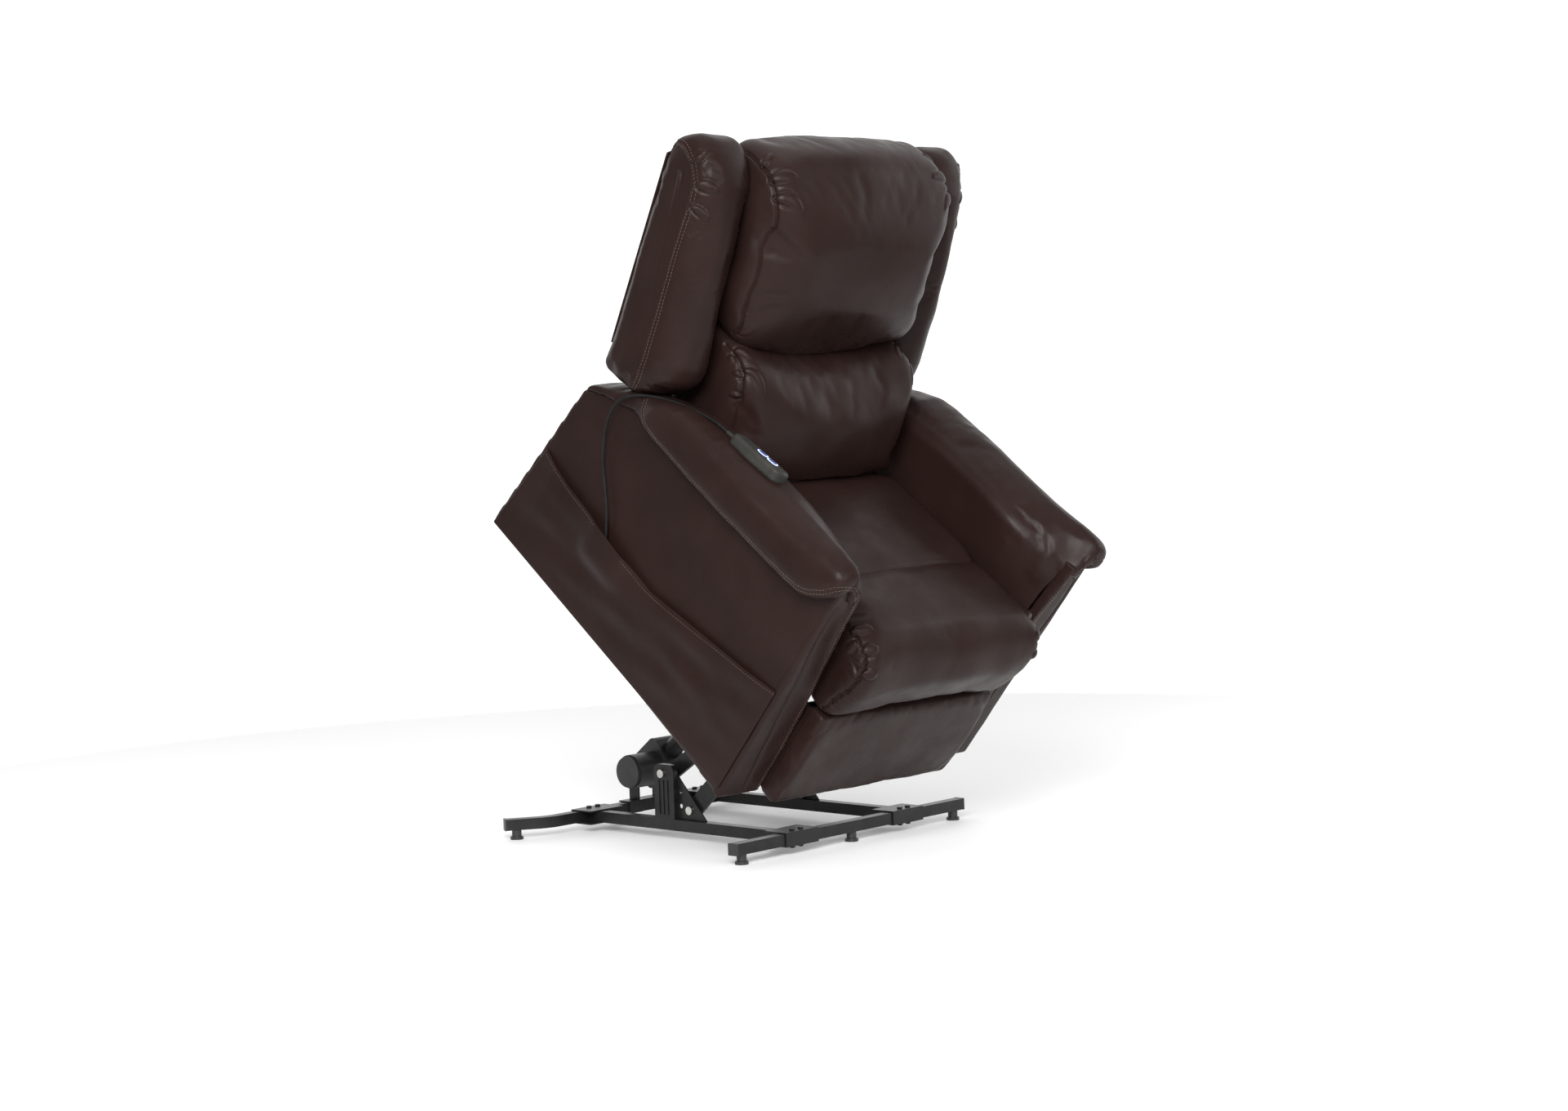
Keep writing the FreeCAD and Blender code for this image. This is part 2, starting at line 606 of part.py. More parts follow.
ARM_CLEARANCE = 0.4


def build_sides():
    for name, way in SIDES:
        outer = size("side_outer") - size("panel_thickness")
        keep(side_plate("outer_side_" + name, SIDE_PANEL, outer, "panel_thickness", SEAT, way))
        keep(side_plate("arm_front_" + name, ARM_FRONT, size("arm_inner_face"), "arm_front_width",
                        SEAT, way))
        keep(side_plate("arm_inner_" + name, ARM_INNER, size("arm_inner_face"), "arm_inner_thickness",
                        SEAT, way))
        keep(arm_pad("arm_pad_" + name, way))


def arm_section(y, crown, inner, lip, under, reach, way):
    """Cross-section of the arm's padded top, with its lip outside the side panel."""
    wall = size("side_outer") + ARM_CLEARANCE
    depth = crown - lip
    overhang = reach - wall
    points = ((264, under), (264, inner - 0.3 * (inner - under)), (274, inner),
              (330, (inner + crown) / 2 + 3),
              (372, crown), (reach - 0.3 * overhang, crown - 0.1 * depth), (reach, crown - 0.4 * depth),
              (reach, lip + 0.12 * depth), (reach - 0.15 * overhang, lip), (wall, lip), (wall, under))
    corners = [Vector(way * x, y, z) for x, z in points]
    return Part.makePolygon(corners + corners[:1])


def arm_pad(label, way):
    solid = DOC.addObject("Part::Feature", label)
    solid.Shape = Part.makeLoft([arm_section(*station, way) for station in ARM_STATIONS], True, True)
    solid.Placement = SEAT
    return solid


def build_upholstery():
    half = size("seat_half_width")
    keep(plate("seat_cushion", SEAT_PROFILE, -half, "2 * seat_half_width", SEAT))
    inner = size("side_outer") - size("panel_thickness")
    keep(plate("rear_apron", APRON, -inner + 0.4, str(2 * inner - 0.8), SEAT))
    depth = size("pocket_depth")
    x_low = -size("side_outer") - depth - 0.3
    pouch = plate("pouch_outer", POCKET, x_low, "pocket_depth", SEAT)
    core = plate("pouch_core", POCKET_CORE, x_low + size("pocket_wall"), "pocket_depth", SEAT)
    keep(cut("side_pocket", pouch, [core]))


# ---------------------------------------------------------------- backrest
# The back's own frame starts at the foot of its wooden frame and leans with it.

BACK = SEAT * turned(700.0, 440.0, -size("back_rake"))
PILLOW = ((569, 618, 12), (541, 690), (560, 790), (592, 880), (632, 972, 28), (698, 1006), (798, 1000, 30),
          (838, 956, 25), (822, 900), (783, 878), (718, 622, 8))
LUMBAR = ((424, 434, 12), (434, 515, 20), (498, 592, 12), (560, 614, 4), (708, 614, 6), (668, 438, 6))
WING = ((743, 483, 10), (838, 860), (832, 930, 20), (800, 962, 20), (745, 952), (706, 920, 15), (657, 820),
        (601, 664), (566, 575, 15), (574, 535, 12), (626, 528, 6), (655, 498, 8))
LUMBAR_SLOT = ((592, 420), (592, 625), (730, 625), (730, 420))
RECLINE_ARM = ((600, 398, 12), (632, 398, 12), (640, 432), (712, 560), (704, 580), (672, 580), (612, 440))


def build_back():
    half = size("back_half_width")
    outline = ((-25, 0), (-25, 430), (0, 430), (0, 0))
    outer = plate("back_frame_outer", outline, -half + 14, str(2 * half - 28), BACK)
    window = ((-40, 60, 10), (-40, 370, 10), (20, 370, 10), (20, 60, 10))
    core = plate("back_frame_core", window, -half + 64, str(2 * half - 128), BACK)
    keep(cut("back_frame", outer, [core]))
    keep(add_box("back_outer_panel", ("760", "6", "400"), (-380, 33, 46), BACK))
    for name, way in SIDES:
        keep(side_plate("wing_" + name, WING, half + 4, "wing_width", SEAT, way))
    keep(plate("head_pillow", PILLOW, -half, "2 * back_half_width", SEAT))
    lumbar = plate("lumbar_block", LUMBAR, -half, "2 * back_half_width", SEAT)
    slots = [side_plate("lumbar_slot_" + name, LUMBAR_SLOT, 240, "20", SEAT, way) for name, way in SIDES]
    keep(cut("lumbar_pillow", lumbar, slots))
    arms = [side_plate("recline_arm_" + name, RECLINE_ARM, 242, "5", SEAT, way,
                       ((*RECLINE_PIVOT, "pivot_bore"),)) for name, way in SIDES]
    keep(group("recline_brackets", arms))


# ---------------------------------------------------------------- footrest

def build_footrest():
    links = []
    arms = []
    for name, way in SIDES:
        shape = capsule(FOOTREST_LINK_PIVOT, FOOTREST_ELBOW, size("footrest_half_width"))
        bar = side_plate("footrest_link_bar_" + name, shape, 195, "6", SEAT, way,
                         ((*FOOTREST_LINK_PIVOT, "pivot_bore"),))
        elbow = pin("footrest_elbow_pin_" + name, 186, "12", FOOTREST_ELBOW, SEAT, way)
        links.append(fuse("footrest_link_" + name, [bar, elbow]))
        shape = capsule(FOOTREST_ELBOW, FOOTREST_HINGE, size("footrest_half_width"))
        bar = side_plate("footrest_arm_bar_" + name, shape, 187, "6", SEAT, way,
                         ((*FOOTREST_ELBOW, "pivot_bore"),))
        stud = pin("footrest_stud_" + name, 178, "12", FOOTREST_HINGE, SEAT, way)
        arms.append(fuse("footrest_arm_" + name, [bar, stud]))
    keep(group("footrest_links", links))
    keep(group("footrest_arms", arms))
    board = add_box("board_sheet", ("500", "12", "200"), (-250, -18, 12), SEAT)
    lugs = []
    for name, way in SIDES:
        shape = ((-8, 84), (6, 84, 6), (20, 92, 8), (20, 108, 8), (6, 116, 6), (-8, 116))
        lugs.append(side_plate("board_lug_" + name, shape, 179, "6", SEAT, way,
                               ((*FOOTREST_HINGE, "pivot_bore"),)))
    keep(fuse("footrest_board", [board] + lugs))
    panel = ((-44, 3, 6), (-46, 112, 8), (-42, 220, 6), (-18.4, 220, 3), (-18.4, 3, 3))
    keep(plate("footrest_panel", panel, -size("seat_half_width") - 2, "2 * seat_half_width + 4", SEAT))


# ---------------------------------------------------------------- handset and its cord
# The handset's frame: its long side along Y, +Y towards the cord, +Z out of the face with the buttons.

HANDSET = SEAT * Placement(Vector(-352, 319, 569.3), Rotation(Vector(0, 0, 1), 4)
                           * Rotation(Vector(1, 0, 0), -3) * Rotation(Vector(0, 1, 0), 17))
SHELL = ((-23, -63, 20), (23, -63, 20), (25, 20, 60), (21, 75, 14), (-21, 75, 14), (-25, 20, 60))
SHELL_CORE = ((-20.5, -60.5, 17), (20.5, -60.5, 17), (22.5, 20, 60), (18.5, 72.5, 11), (-18.5, 72.5, 11),
              (-22.5, 20, 60))
BUTTONS = (("button_up", 7.0), ("button_down", -20.5))
BUTTON_HALF = (7.5, 9.5)


def slab(label, outline, z_low, thickness, frame, holes=()):
    """A padded sketch in the (x, y) plane, from z_low towards +Z."""
    body = DOC.addObject("PartDesign::Body", label)
    pad = body.newObject("PartDesign::Pad", label + "_pad")
    pad.Profile = sketch_on(body, "XY_Plane", outline, holes)
    pad.setExpression("Length", bound(thickness))
    body.Placement = frame * Placement(Vector(0, 0, z_low), Rotation())
    return body


def rim_fillet(body, radius, highest):
    """Rounds the outer rim of a slab, at its highest or lowest face."""
    DOC.recompute()
    pad = body.Tip
    local = pad.Shape
    level = local.BoundBox.ZMax if highest else local.BoundBox.ZMin
    names = ["Edge%d" % (number + 1) for number, edge in enumerate(local.Edges)
             if abs(edge.BoundBox.ZMin - level) < 1e-6 and abs(edge.BoundBox.ZMax - level) < 1e-6]
    fillet = body.newObject("PartDesign::Fillet", body.Name + "_rim")
    fillet.Base = (pad, names)
    fillet.Radius = radius
    return body


def oval(y_mid, grow):
    """Outline of a button, or of its hole when grown."""
    wide = BUTTON_HALF[0] + grow
    tall = BUTTON_HALF[1] + grow
    corner = 6.5 + grow
    return [(-wide, y_mid - tall, corner), (wide, y_mid - tall, corner), (wide, y_mid + tall, corner),
            (-wide, y_mid + tall, corner)]


def build_handset():
    rear = rim_fillet(slab("rear_shell_outer", SHELL, -14, "13.9", HANDSET), 8, False)
    hollow = slab("rear_shell_core", SHELL_CORE, -11.5, "20", HANDSET)
    keep(cut("handset_rear_shell", rear, [hollow]))
    front = rim_fillet(slab("front_shell_outer", SHELL, 0, "13", HANDSET), 7, True)
    tools = [slab("front_shell_core", SHELL_CORE, -5, "15.5", HANDSET)]
    gap = size("button_hole_gap")
    for name, y_mid in BUTTONS:
        tools.append(slab(name + "_hole", oval(y_mid, gap), 5, "20", HANDSET))
    keep(cut("handset_front_shell", front, tools))
    rings = []
    for name, y_mid in BUTTONS:
        outer = slab(name + "_ring_outer", oval(y_mid, 3.0), 13.02, "0.9", HANDSET)
        inner = slab(name + "_ring_inner", oval(y_mid, gap + 0.15), 12, "4", HANDSET)
        rings.append(cut(name + "_ring", outer, [inner]))
        keep(rim_fillet(slab(name, oval(y_mid, 0), 9, "6", HANDSET), 1.6, True))
    keep(group("handset_button_rings", rings))
    relief = DOC.addObject("Part::Cone", "handset_strain_relief")
    relief.Radius1 = 5.5
    relief.setExpression("Radius2", bound("cord_radius + 0.8"))
    relief.Height = STRAIN_RELIEF
    relief.Placement = HANDSET * Placement(Vector(0, 75.05, -2), Rotation(Vector(1, 0, 0), -90))
    keep(relief)


STRAIN_RELIEF = 22.0
# The cord in the seat unit's frame: along the arm, under the wing, and down into the side pocket.
CORD_ROUTE = ((-362.5, 475, 553), (-364, 508, 543.5), (-366.5, 540, 531.5), (-371.5, 572, 517.5),
              (-380, 602, 502), (-391, 626, 486.5), (-400.5, 644, 467), (-403, 654, 439), (-401, 653, 405),
              (-397, 642, 367), (-394, 625, 332), (-393, 600, 302), (-393, 568, 271), (-393, 540, 236),
              (-393, 516, 196))


def cord_points():
    """The cord's route in the seat unit's frame, from the strain relief to the grommet."""
    exit_point = SEAT.inverse().multVec(HANDSET.multVec(Vector(0, 75.05 + STRAIN_RELIEF, -2)))
    ahead = SEAT.inverse().multVec(HANDSET.multVec(Vector(0, 75.05 + STRAIN_RELIEF + 26, -2)))
    return [exit_point, ahead] + [Vector(*point) for point in CORD_ROUTE]


def build_cord():
    points = cord_points()
    edges = []
    place = points[0]
    radii = []
    for before, here, after in zip(points, points[1:], points[2:]):
        back = before - here
        on = after - here
        turn = math.pi - back.getAngle(on)
        reach = 0.45 * min(back.Length, on.Length)
        radius = reach / math.tan(turn / 2)
        radii.append(radius)
        start = here + back.normalize() * reach
        end = here + on.normalize() * reach
        middle = here + (back + on).normalize() * (radius / math.cos(turn / 2) - radius)
        edges.append(Part.LineSegment(place, start).toShape())
        edges.append(Part.Arc(start, middle, end).toShape())
        place = end
    edges.append(Part.LineSegment(place, points[-1]).toShape())
    path = Part.Wire(edges)
    ring = Part.Wire(Part.Circle(points[0], points[1] - points[0], size("cord_radius")).toShape())
    cord = DOC.addObject("Part::Feature", "handset_cord")
    cord.Shape = path.makePipeShell([ring], True, True)
    cord.Placement = SEAT
    keep(cord)
    expected = math.pi * size("cord_radius") ** 2 * path.Length
    print("cord length %.1f, volume ratio %.3f, radii %s" % (path.Length, cord.Shape.Volume / expected,
                                                            [round(radius) for radius in radii]))
    end = points[-1]
    way = (points[-1] - points[-2]).normalize()
    keep(add_rod("cord_grommet", "grommet_radius", "grommet_length", tuple(end + way * 0.02), tuple(way),
                 SEAT))


def check_and_write():
    DOC.recompute()
    for item in DOC.Objects:
        if "Invalid" in item.State or "Error" in item.State:
            raise RuntimeError("failed object: " + item.Name + " " + str(item.State))
    os.makedirs("parts", exist_ok=True)
    box = FreeCAD.BoundBox()
    bad = []
    for piece in NODES:
        shape = piece.Shape
        if shape.isNull() or not shape.isValid() or not shape.Solids:
            bad.append(piece.Label)
            continue
        box.add(shape.BoundBox)
        shape.exportStep("parts/" + piece.Label + ".step")
    print(len(NODES), "nodes, box", box)
    if bad:
        raise RuntimeError("bad shapes: " + ", ".join(bad))


build_crossbars()
build_side_rails()
build_end_caps()
build_glides()
build_corner_brackets()
build_lift_brackets()
build_base_bolts()
build_actuator_bracket()
build_links()
build_actuator()
build_lift_frames()
build_seat_frame()
build_sides()
build_upholstery()
build_back()
build_footrest()
build_handset()
build_cord()
check_and_write()
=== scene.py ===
import json
import math

import bmesh
import bpy
import numpy as np
from mathutils import Matrix, Vector
from mathutils.bvhtree import BVHTree


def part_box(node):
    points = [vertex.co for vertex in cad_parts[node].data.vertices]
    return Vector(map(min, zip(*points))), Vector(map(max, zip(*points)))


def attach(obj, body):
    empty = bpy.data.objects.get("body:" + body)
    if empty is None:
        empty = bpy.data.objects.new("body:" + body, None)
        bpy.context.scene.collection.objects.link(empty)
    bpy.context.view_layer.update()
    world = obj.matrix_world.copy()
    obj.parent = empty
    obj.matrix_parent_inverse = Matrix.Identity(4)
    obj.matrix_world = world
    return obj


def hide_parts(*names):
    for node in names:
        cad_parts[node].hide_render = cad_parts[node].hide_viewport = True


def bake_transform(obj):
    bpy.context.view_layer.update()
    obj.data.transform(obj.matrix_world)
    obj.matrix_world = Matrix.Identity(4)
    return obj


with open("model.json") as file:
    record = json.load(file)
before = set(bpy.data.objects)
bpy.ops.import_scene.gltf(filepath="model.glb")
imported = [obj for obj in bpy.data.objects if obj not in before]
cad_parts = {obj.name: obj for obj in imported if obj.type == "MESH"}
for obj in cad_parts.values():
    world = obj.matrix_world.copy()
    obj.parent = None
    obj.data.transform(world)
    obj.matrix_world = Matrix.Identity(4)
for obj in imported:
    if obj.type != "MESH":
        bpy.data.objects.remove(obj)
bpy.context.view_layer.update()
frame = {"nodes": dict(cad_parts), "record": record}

# The upholstered unit is modelled in its own frame in millimetres: x across the chair, y towards its back
# and z up its sides, from the front bottom edge of the arms. SEAT places that frame. The backrest leans in
# it: back_point() takes a distance forwards from the back's rear face and a distance up along it.
MM = 0.001
FRONT_LOW, FRONT_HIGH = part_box("front_crossbar")
FRONT_ROW_Y = (FRONT_LOW.y + FRONT_HIGH.y) / 2 - 2 * MM
TILT = math.radians(39.6)
SEAT = Matrix.Translation((0, FRONT_ROW_Y + 6.6 * MM, 140.6 * MM)) @ Matrix.Rotation(TILT, 4, "X")
BACK_RAKE = math.radians(13.9)
BACK_FOOT = (748.0, 471.0)
SIDES = (("left", -1), ("right", 1))
SIDE_FACE = 382.0


# ------------------------------------------------------------------ shapes

def back_point(x, forward, up):
    """A point of the leaning back frame, in the seat unit's frame."""
    c, s = math.cos(BACK_RAKE), math.sin(BACK_RAKE)
    return (x, BACK_FOOT[0] - forward * c + up * s, BACK_FOOT[1] + forward * s + up * c)


def new_object(name, verts, faces, scale=MM):
    mesh = bpy.data.meshes.new(name)
    mesh.from_pydata([tuple(scale * c for c in v) for v in verts], [], faces)
    mesh.validate()
    obj = bpy.data.objects.new(name, mesh)
    bpy.context.collection.objects.link(obj)
    return obj


def loft(name, rings):
    """A closed form through rings that have the same number of points."""
    count = len(rings[0])
    verts = [tuple(point) for ring in rings for point in ring]
    faces = []
    for r in range(len(rings) - 1):
        for i in range(count):
            j = (i + 1) % count
            faces.append((r * count + i, r * count + j, (r + 1) * count + j, (r + 1) * count + i))
    faces.append(tuple(range(count)))
    faces.append(tuple(range((len(rings) - 1) * count, len(rings) * count)))
    obj = new_object(name, verts, faces)
    fix_normals(obj)
    return obj


def fix_normals(obj):
    shape = bmesh.new()
    shape.from_mesh(obj.data)
    bmesh.ops.recalc_face_normals(shape, faces=shape.faces)
    shape.to_mesh(obj.data)
    shape.free()


def smooth_loop(points, count, closed=True):
    """Evenly spaced points on a smooth curve through the given points."""
    points = np.array(points, float)
    n = len(points)
    dense = []
    last = n if closed else n - 1
    for i in range(last):
        near = [(i + k) % n if closed else min(max(i + k, 0), n - 1) for k in (-1, 0, 1, 2)]
        pick = [points[k] for k in near]
        for t in np.linspace(0, 1, 24, endpoint=False):
            dense.append(0.5 * (2 * pick[1] + (pick[2] - pick[0]) * t
                                + (2 * pick[0] - 5 * pick[1] + 4 * pick[2] - pick[3]) * t * t
                                + (3 * pick[1] - pick[0] - 3 * pick[2] + pick[3]) * t ** 3))
    dense.append(points[0] if closed else points[-1])
    dense = np.array(dense)
    steps = np.concatenate([[0], np.cumsum(np.linalg.norm(np.diff(dense, axis=0), axis=1))])
    at = np.linspace(0, steps[-1], count, endpoint=not closed)
    return np.stack([np.interp(at, steps, dense[:, k]) for k in range(dense.shape[1])], axis=1)


def table(at, *rows):
    """Values between the rows of a small table whose first column is the position."""
    rows = np.array(rows, float)
    return [float(np.interp(at, rows[:, 0], rows[:, k])) for k in range(1, rows.shape[1])]


def profile_rings(outline, half, corner, inset=0.0, count=72, bend=None):
    """Rings of a cushion whose (y, z) profile runs across the chair and rounds off at its two ends."""
    loop = smooth_loop(outline, count)
    centre = loop.mean(axis=0)
    away = loop - centre
    reach = np.linalg.norm(away, axis=1)[:, None]
    spots = np.concatenate([np.linspace(0, half - corner, 12, endpoint=False),
                            half - corner + corner * np.sin(np.linspace(0, 1, 7) * math.pi / 2)])
    rings = []
    for x in sorted(set([-s for s in spots] + list(spots))):
        over = max(0.0, abs(x) - (half - corner))
        pull = inset + corner - math.sqrt(max(corner ** 2 - over ** 2, 0))
        ring = loop - away / reach * pull
        if bend:
            ring = np.array([bend(x, y, z) for y, z in ring])
        rings.append([(x, y, z) for y, z in ring])
    return rings


def coords(obj):
    co = np.empty(len(obj.data.vertices) * 3)
    obj.data.vertices.foreach_get("co", co)
    return co.reshape(-1, 3) / MM


def set_coords(obj, co):
    obj.data.vertices.foreach_set("co", (co * MM).ravel())
    obj.data.update()


def normals(obj):
    no = np.empty(len(obj.data.vertices) * 3)
    obj.data.vertices.foreach_get("normal", no)
    return no.reshape(-1, 3)


def apply_modifiers(obj):
    graph = bpy.context.evaluated_depsgraph_get()
    mesh = bpy.data.meshes.new_from_object(obj.evaluated_get(graph))
    obj.modifiers.clear()
    old = obj.data
    obj.data = mesh
    bpy.data.meshes.remove(old)


def remesh(obj, voxel):
    mod = obj.modifiers.new("remesh", "REMESH")
    mod.mode = "VOXEL"
    mod.voxel_size = voxel * MM
    apply_modifiers(obj)
    relax(obj, 3)


def relax(obj, times):
    mod = obj.modifiers.new("relax", "SMOOTH")
    mod.iterations = times
    mod.factor = 0.5
    apply_modifiers(obj)


def inflate(obj, pressure=4.0, cap=14.0, grow=0.02, frames=20, keep=None):
    """Fills a cushion with Blender's cloth and applies the result; no point moves further than cap."""
    rest = coords(obj)
    mod = obj.modifiers.new("cloth", "CLOTH")
    cloth = mod.settings
    cloth.quality = 4
    cloth.mass = 0.3
    cloth.tension_stiffness = 12
    cloth.compression_stiffness = 12
    cloth.shear_stiffness = 4
    cloth.bending_stiffness = 0.4
    cloth.use_pressure = True
    cloth.uniform_pressure_force = pressure
    cloth.shrink_min = -grow
    cloth.effector_weights.gravity = 0
    mod.collision_settings.use_collision = False
    if keep is not None:
        held = obj.vertex_groups.new(name="held")
        for index in np.nonzero(keep(rest))[0]:
            held.add([int(index)], 1.0, "REPLACE")
        cloth.vertex_group_mass = "held"
    scene = bpy.context.scene
    for number in range(1, frames + 1):
        scene.frame_set(number)
    apply_modifiers(obj)
    scene.frame_set(1)
    move = coords(obj) - rest
    far = np.linalg.norm(move, axis=1)[:, None]
    set_coords(obj, rest + move * np.minimum(1, cap / np.maximum(far, 1e-9)))
    obj.vertex_groups.clear()


def waves(co, length, seed, stretch=(1, 1, 1)):
    """A smooth field between -1 and 1 over the points, with a typical wave length."""
    rng = np.random.default_rng(seed)
    total = np.zeros(len(co))
    for _ in range(7):
        way = rng.normal(size=3)
        way = way / np.linalg.norm(way) * np.array(stretch)
        way = way * (2 * math.pi / length) * rng.uniform(0.6, 1.5)
        total += np.sin(co @ way + rng.uniform(0, 2 * math.pi))
    return total / 4.0


def push(obj, amount):
    """Moves each point along its normal."""
    set_coords(obj, coords(obj) + normals(obj) * amount[:, None])


def along_path(co, path, step=4.0):
    """Distance of each point from a path, and how far along the path its nearest point is."""
    path = resample(path, step)
    lengths = np.concatenate([[0], np.cumsum(np.linalg.norm(np.diff(path, axis=0), axis=1))])
    best = np.full(len(co), 1e9)
    where = np.zeros(len(co))
    for point, length in zip(path, lengths):
        far = np.linalg.norm(co - point, axis=1)
        closer = far < best
        best[closer] = far[closer]
        where[closer] = length
    return best, where, lengths[-1]


def resample(path, step):
    path = np.array(path, float)
    lengths = np.concatenate([[0], np.cumsum(np.linalg.norm(np.diff(path, axis=0), axis=1))])
    at = np.linspace(0, lengths[-1], max(2, int(lengths[-1] / step) + 1))
    return np.stack([np.interp(at, lengths, path[:, k]) for k in range(3)], axis=1)


def groove(obj, path, depth, width):
    far, _, _ = along_path(coords(obj), path)
    push(obj, -depth * np.exp(-(far / width) ** 2))


def tucks(obj, seam, places, way, length, width, rise, crease=4.0):
    """Leaf-shaped puffs of leather that leave a seam on one side, each with a crease around it."""
    co = coords(obj)
    surface = surface_of(obj)
    line = resample(seam, 2.0)
    steps = np.linspace(0, 1, len(line))
    move = np.zeros(len(co))
    for place, lean, share in places:
        at = np.array([np.interp(place, steps, line[:, k]) for k in range(3)])
        on = np.array([np.interp(min(place + 0.02, 1), steps, line[:, k]) for k in range(3)]) - at
        on /= np.linalg.norm(on) + 1e-9
        _, up, _, _ = surface.find_nearest(Vector(at))
        across = np.cross(np.array(up), on) * way
        reach = length * share
        ray = [at + (across * math.cos(lean * t) + on * math.sin(lean * t)) * reach * t
               for t in np.linspace(0, 1, 9)]
        ray, _ = draped(surface, ray, 3.0)
        far, where, total = along_path(co, ray, 2.0)
        part = np.clip(where / total, 0, 1)
        half = width * share * (0.3 + 0.7 * np.sin(math.pi * np.clip(part * 0.8 + 0.1, 0, 1)))
        half = half * np.sqrt(np.clip(1 - ((part - 0.5) / 0.52) ** 8, 0, 1))
        dome = np.clip(1 - (far / np.maximum(half, 1.0)) ** 2, 0, 1) ** (0.5 + part)
        rim = np.exp(-((far - half) / 3.0) ** 2) * np.clip(1.05 - 1.2 * part, 0, 1)
        move += rise * dome * (1 - 0.5 * part) - crease * rim
    push(obj, move)


def subdivide(obj, levels=1):
    mod = obj.modifiers.new("smooth", "SUBSURF")
    mod.levels = levels
    mod.render_levels = levels
    apply_modifiers(obj)


def draped(surface, path, step, lift=0.0):
    """The path laid on a surface: points and surface normals."""
    points, ups = [], []
    for point in resample(path, step):
        place, up, _, _ = surface.find_nearest(Vector(point))
        points.append(np.array(place) + np.array(up) * lift)
        ups.append(np.array(up))
    return np.array(points), np.array(ups)


def surface_of(obj):
    """A tree that finds the nearest place on a piece as it is now."""
    return BVHTree.FromPolygons([tuple(point) for point in coords(obj)],
                                [tuple(face.vertices) for face in obj.data.polygons])


def thread(name, surface, path, body, sides=(0.0,), radius=0.65, length=5.2, gap=1.9):
    """Rows of stitches laid on a surface beside a path."""
    verts, faces = [], []
    for side in sides:
        points, ups = draped(surface, path, 3.0)
        ways = np.gradient(points, axis=0)
        ways /= np.linalg.norm(ways, axis=1)[:, None] + 1e-9
        across = np.cross(ups, ways)
        row = points + across * side
        fine = resample(row, 0.8)
        fine_path, fine_up = [], []
        for point in fine:
            place, up, _, _ = surface.find_nearest(Vector(point))
            fine_path.append(np.array(place))
            fine_up.append(np.array(up))
        fine_path, fine_up = np.array(fine_path), np.array(fine_up)
        steps = np.concatenate([[0], np.cumsum(np.linalg.norm(np.diff(fine_path, axis=0), axis=1))])
        at = 0.0
        while at + length < steps[-1]:
            marks = np.linspace(at, at + length, 4)
            line = np.stack([np.interp(marks, steps, fine_path[:, k]) for k in range(3)], axis=1)
            up = np.stack([np.interp(marks, steps, fine_up[:, k]) for k in range(3)], axis=1)
            way = line[-1] - line[0]
            way /= np.linalg.norm(way) + 1e-9
            base = len(verts)
            for k, (spot, rise) in enumerate(zip(line, up)):
                right = np.cross(way, rise)
                fat = radius * (0.45 if k in (0, 3) else 1.0)
                lift = rise * radius * (0.0 if k in (0, 3) else 0.75)
                for corner in range(6):
                    turn = corner * math.pi / 3
                    verts.append(spot + lift + right * math.cos(turn) * fat
                                 + rise * math.sin(turn) * fat)
            for k in range(3):
                for corner in range(6):
                    onward = (corner + 1) % 6
                    faces.append((base + 6 * k + corner, base + 6 * k + onward,
                                  base + 6 * k + 6 + onward, base + 6 * k + 6 + corner))
            faces.append(tuple(base + corner for corner in range(6))[::-1])
            faces.append(tuple(base + 18 + corner for corner in range(6)))
            at += length + gap
    finish_piece(new_object(name, verts, faces), body, THREAD)


def welt(name, surface, path, body, radius):
    """A thin rolled edge along a path on a surface."""
    points, ups = draped(surface, path, 4.0, 0.3)
    verts, faces = [], []
    for k, (point, up) in enumerate(zip(points, ups)):
        way = points[min(k + 1, len(points) - 1)] - points[max(k - 1, 0)]
        way /= np.linalg.norm(way) + 1e-9
        right = np.cross(way, up)
        for corner in range(8):
            turn = corner * math.pi / 4
            verts.append(point + (right * math.cos(turn) + up * math.sin(turn)) * radius)
    for k in range(len(points) - 1):
        for corner in range(8):
            onward = (corner + 1) % 8
            faces.append((8 * k + corner, 8 * k + onward, 8 * k + 8 + onward, 8 * k + 8 + corner))
    faces.append(tuple(range(8))[::-1])
    faces.append(tuple(range(len(verts) - 8, len(verts))))
    finish_piece(new_object(name, verts, faces), body, LEATHER)


def dress(obj, material):
    """Puts a piece in the row frame, smooth and with its material."""
    obj.data.transform(SEAT)
    obj.data.materials.clear()
    obj.data.materials.append(material)
    obj.data.polygons.foreach_set("use_smooth", [True] * len(obj.data.polygons))


def finish_piece(obj, body, material, nodes=()):
    """Dresses a piece and lets it ride on its body, in place of the CAD nodes that it stands for."""
    dress(obj, material)
    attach(obj, body)
    if nodes:
        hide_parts(*nodes)


# ------------------------------------------------------------------ materials

def new_material(name, color, roughness, metallic=0.0):
    material = bpy.data.materials.new(name)
    material.use_nodes = True
    shader = material.node_tree.nodes["Principled BSDF"]
    shader.inputs["Base Color"].default_value = (*color, 1)
    shader.inputs["Roughness"].default_value = roughness
    shader.inputs["Metallic"].default_value = metallic
    material.diffuse_color = (*color, 1)
    return material, shader, material.node_tree


def texture(tree, kind, scale, detail=2.0):
    place = tree.nodes.new("ShaderNodeTexCoord")
    node = tree.nodes.new(kind)
    node.inputs["Scale"].default_value = scale
    if "Detail" in node.inputs:
        node.inputs["Detail"].default_value = detail
    tree.links.new(place.outputs["Object"], node.inputs["Vector"])
    return node


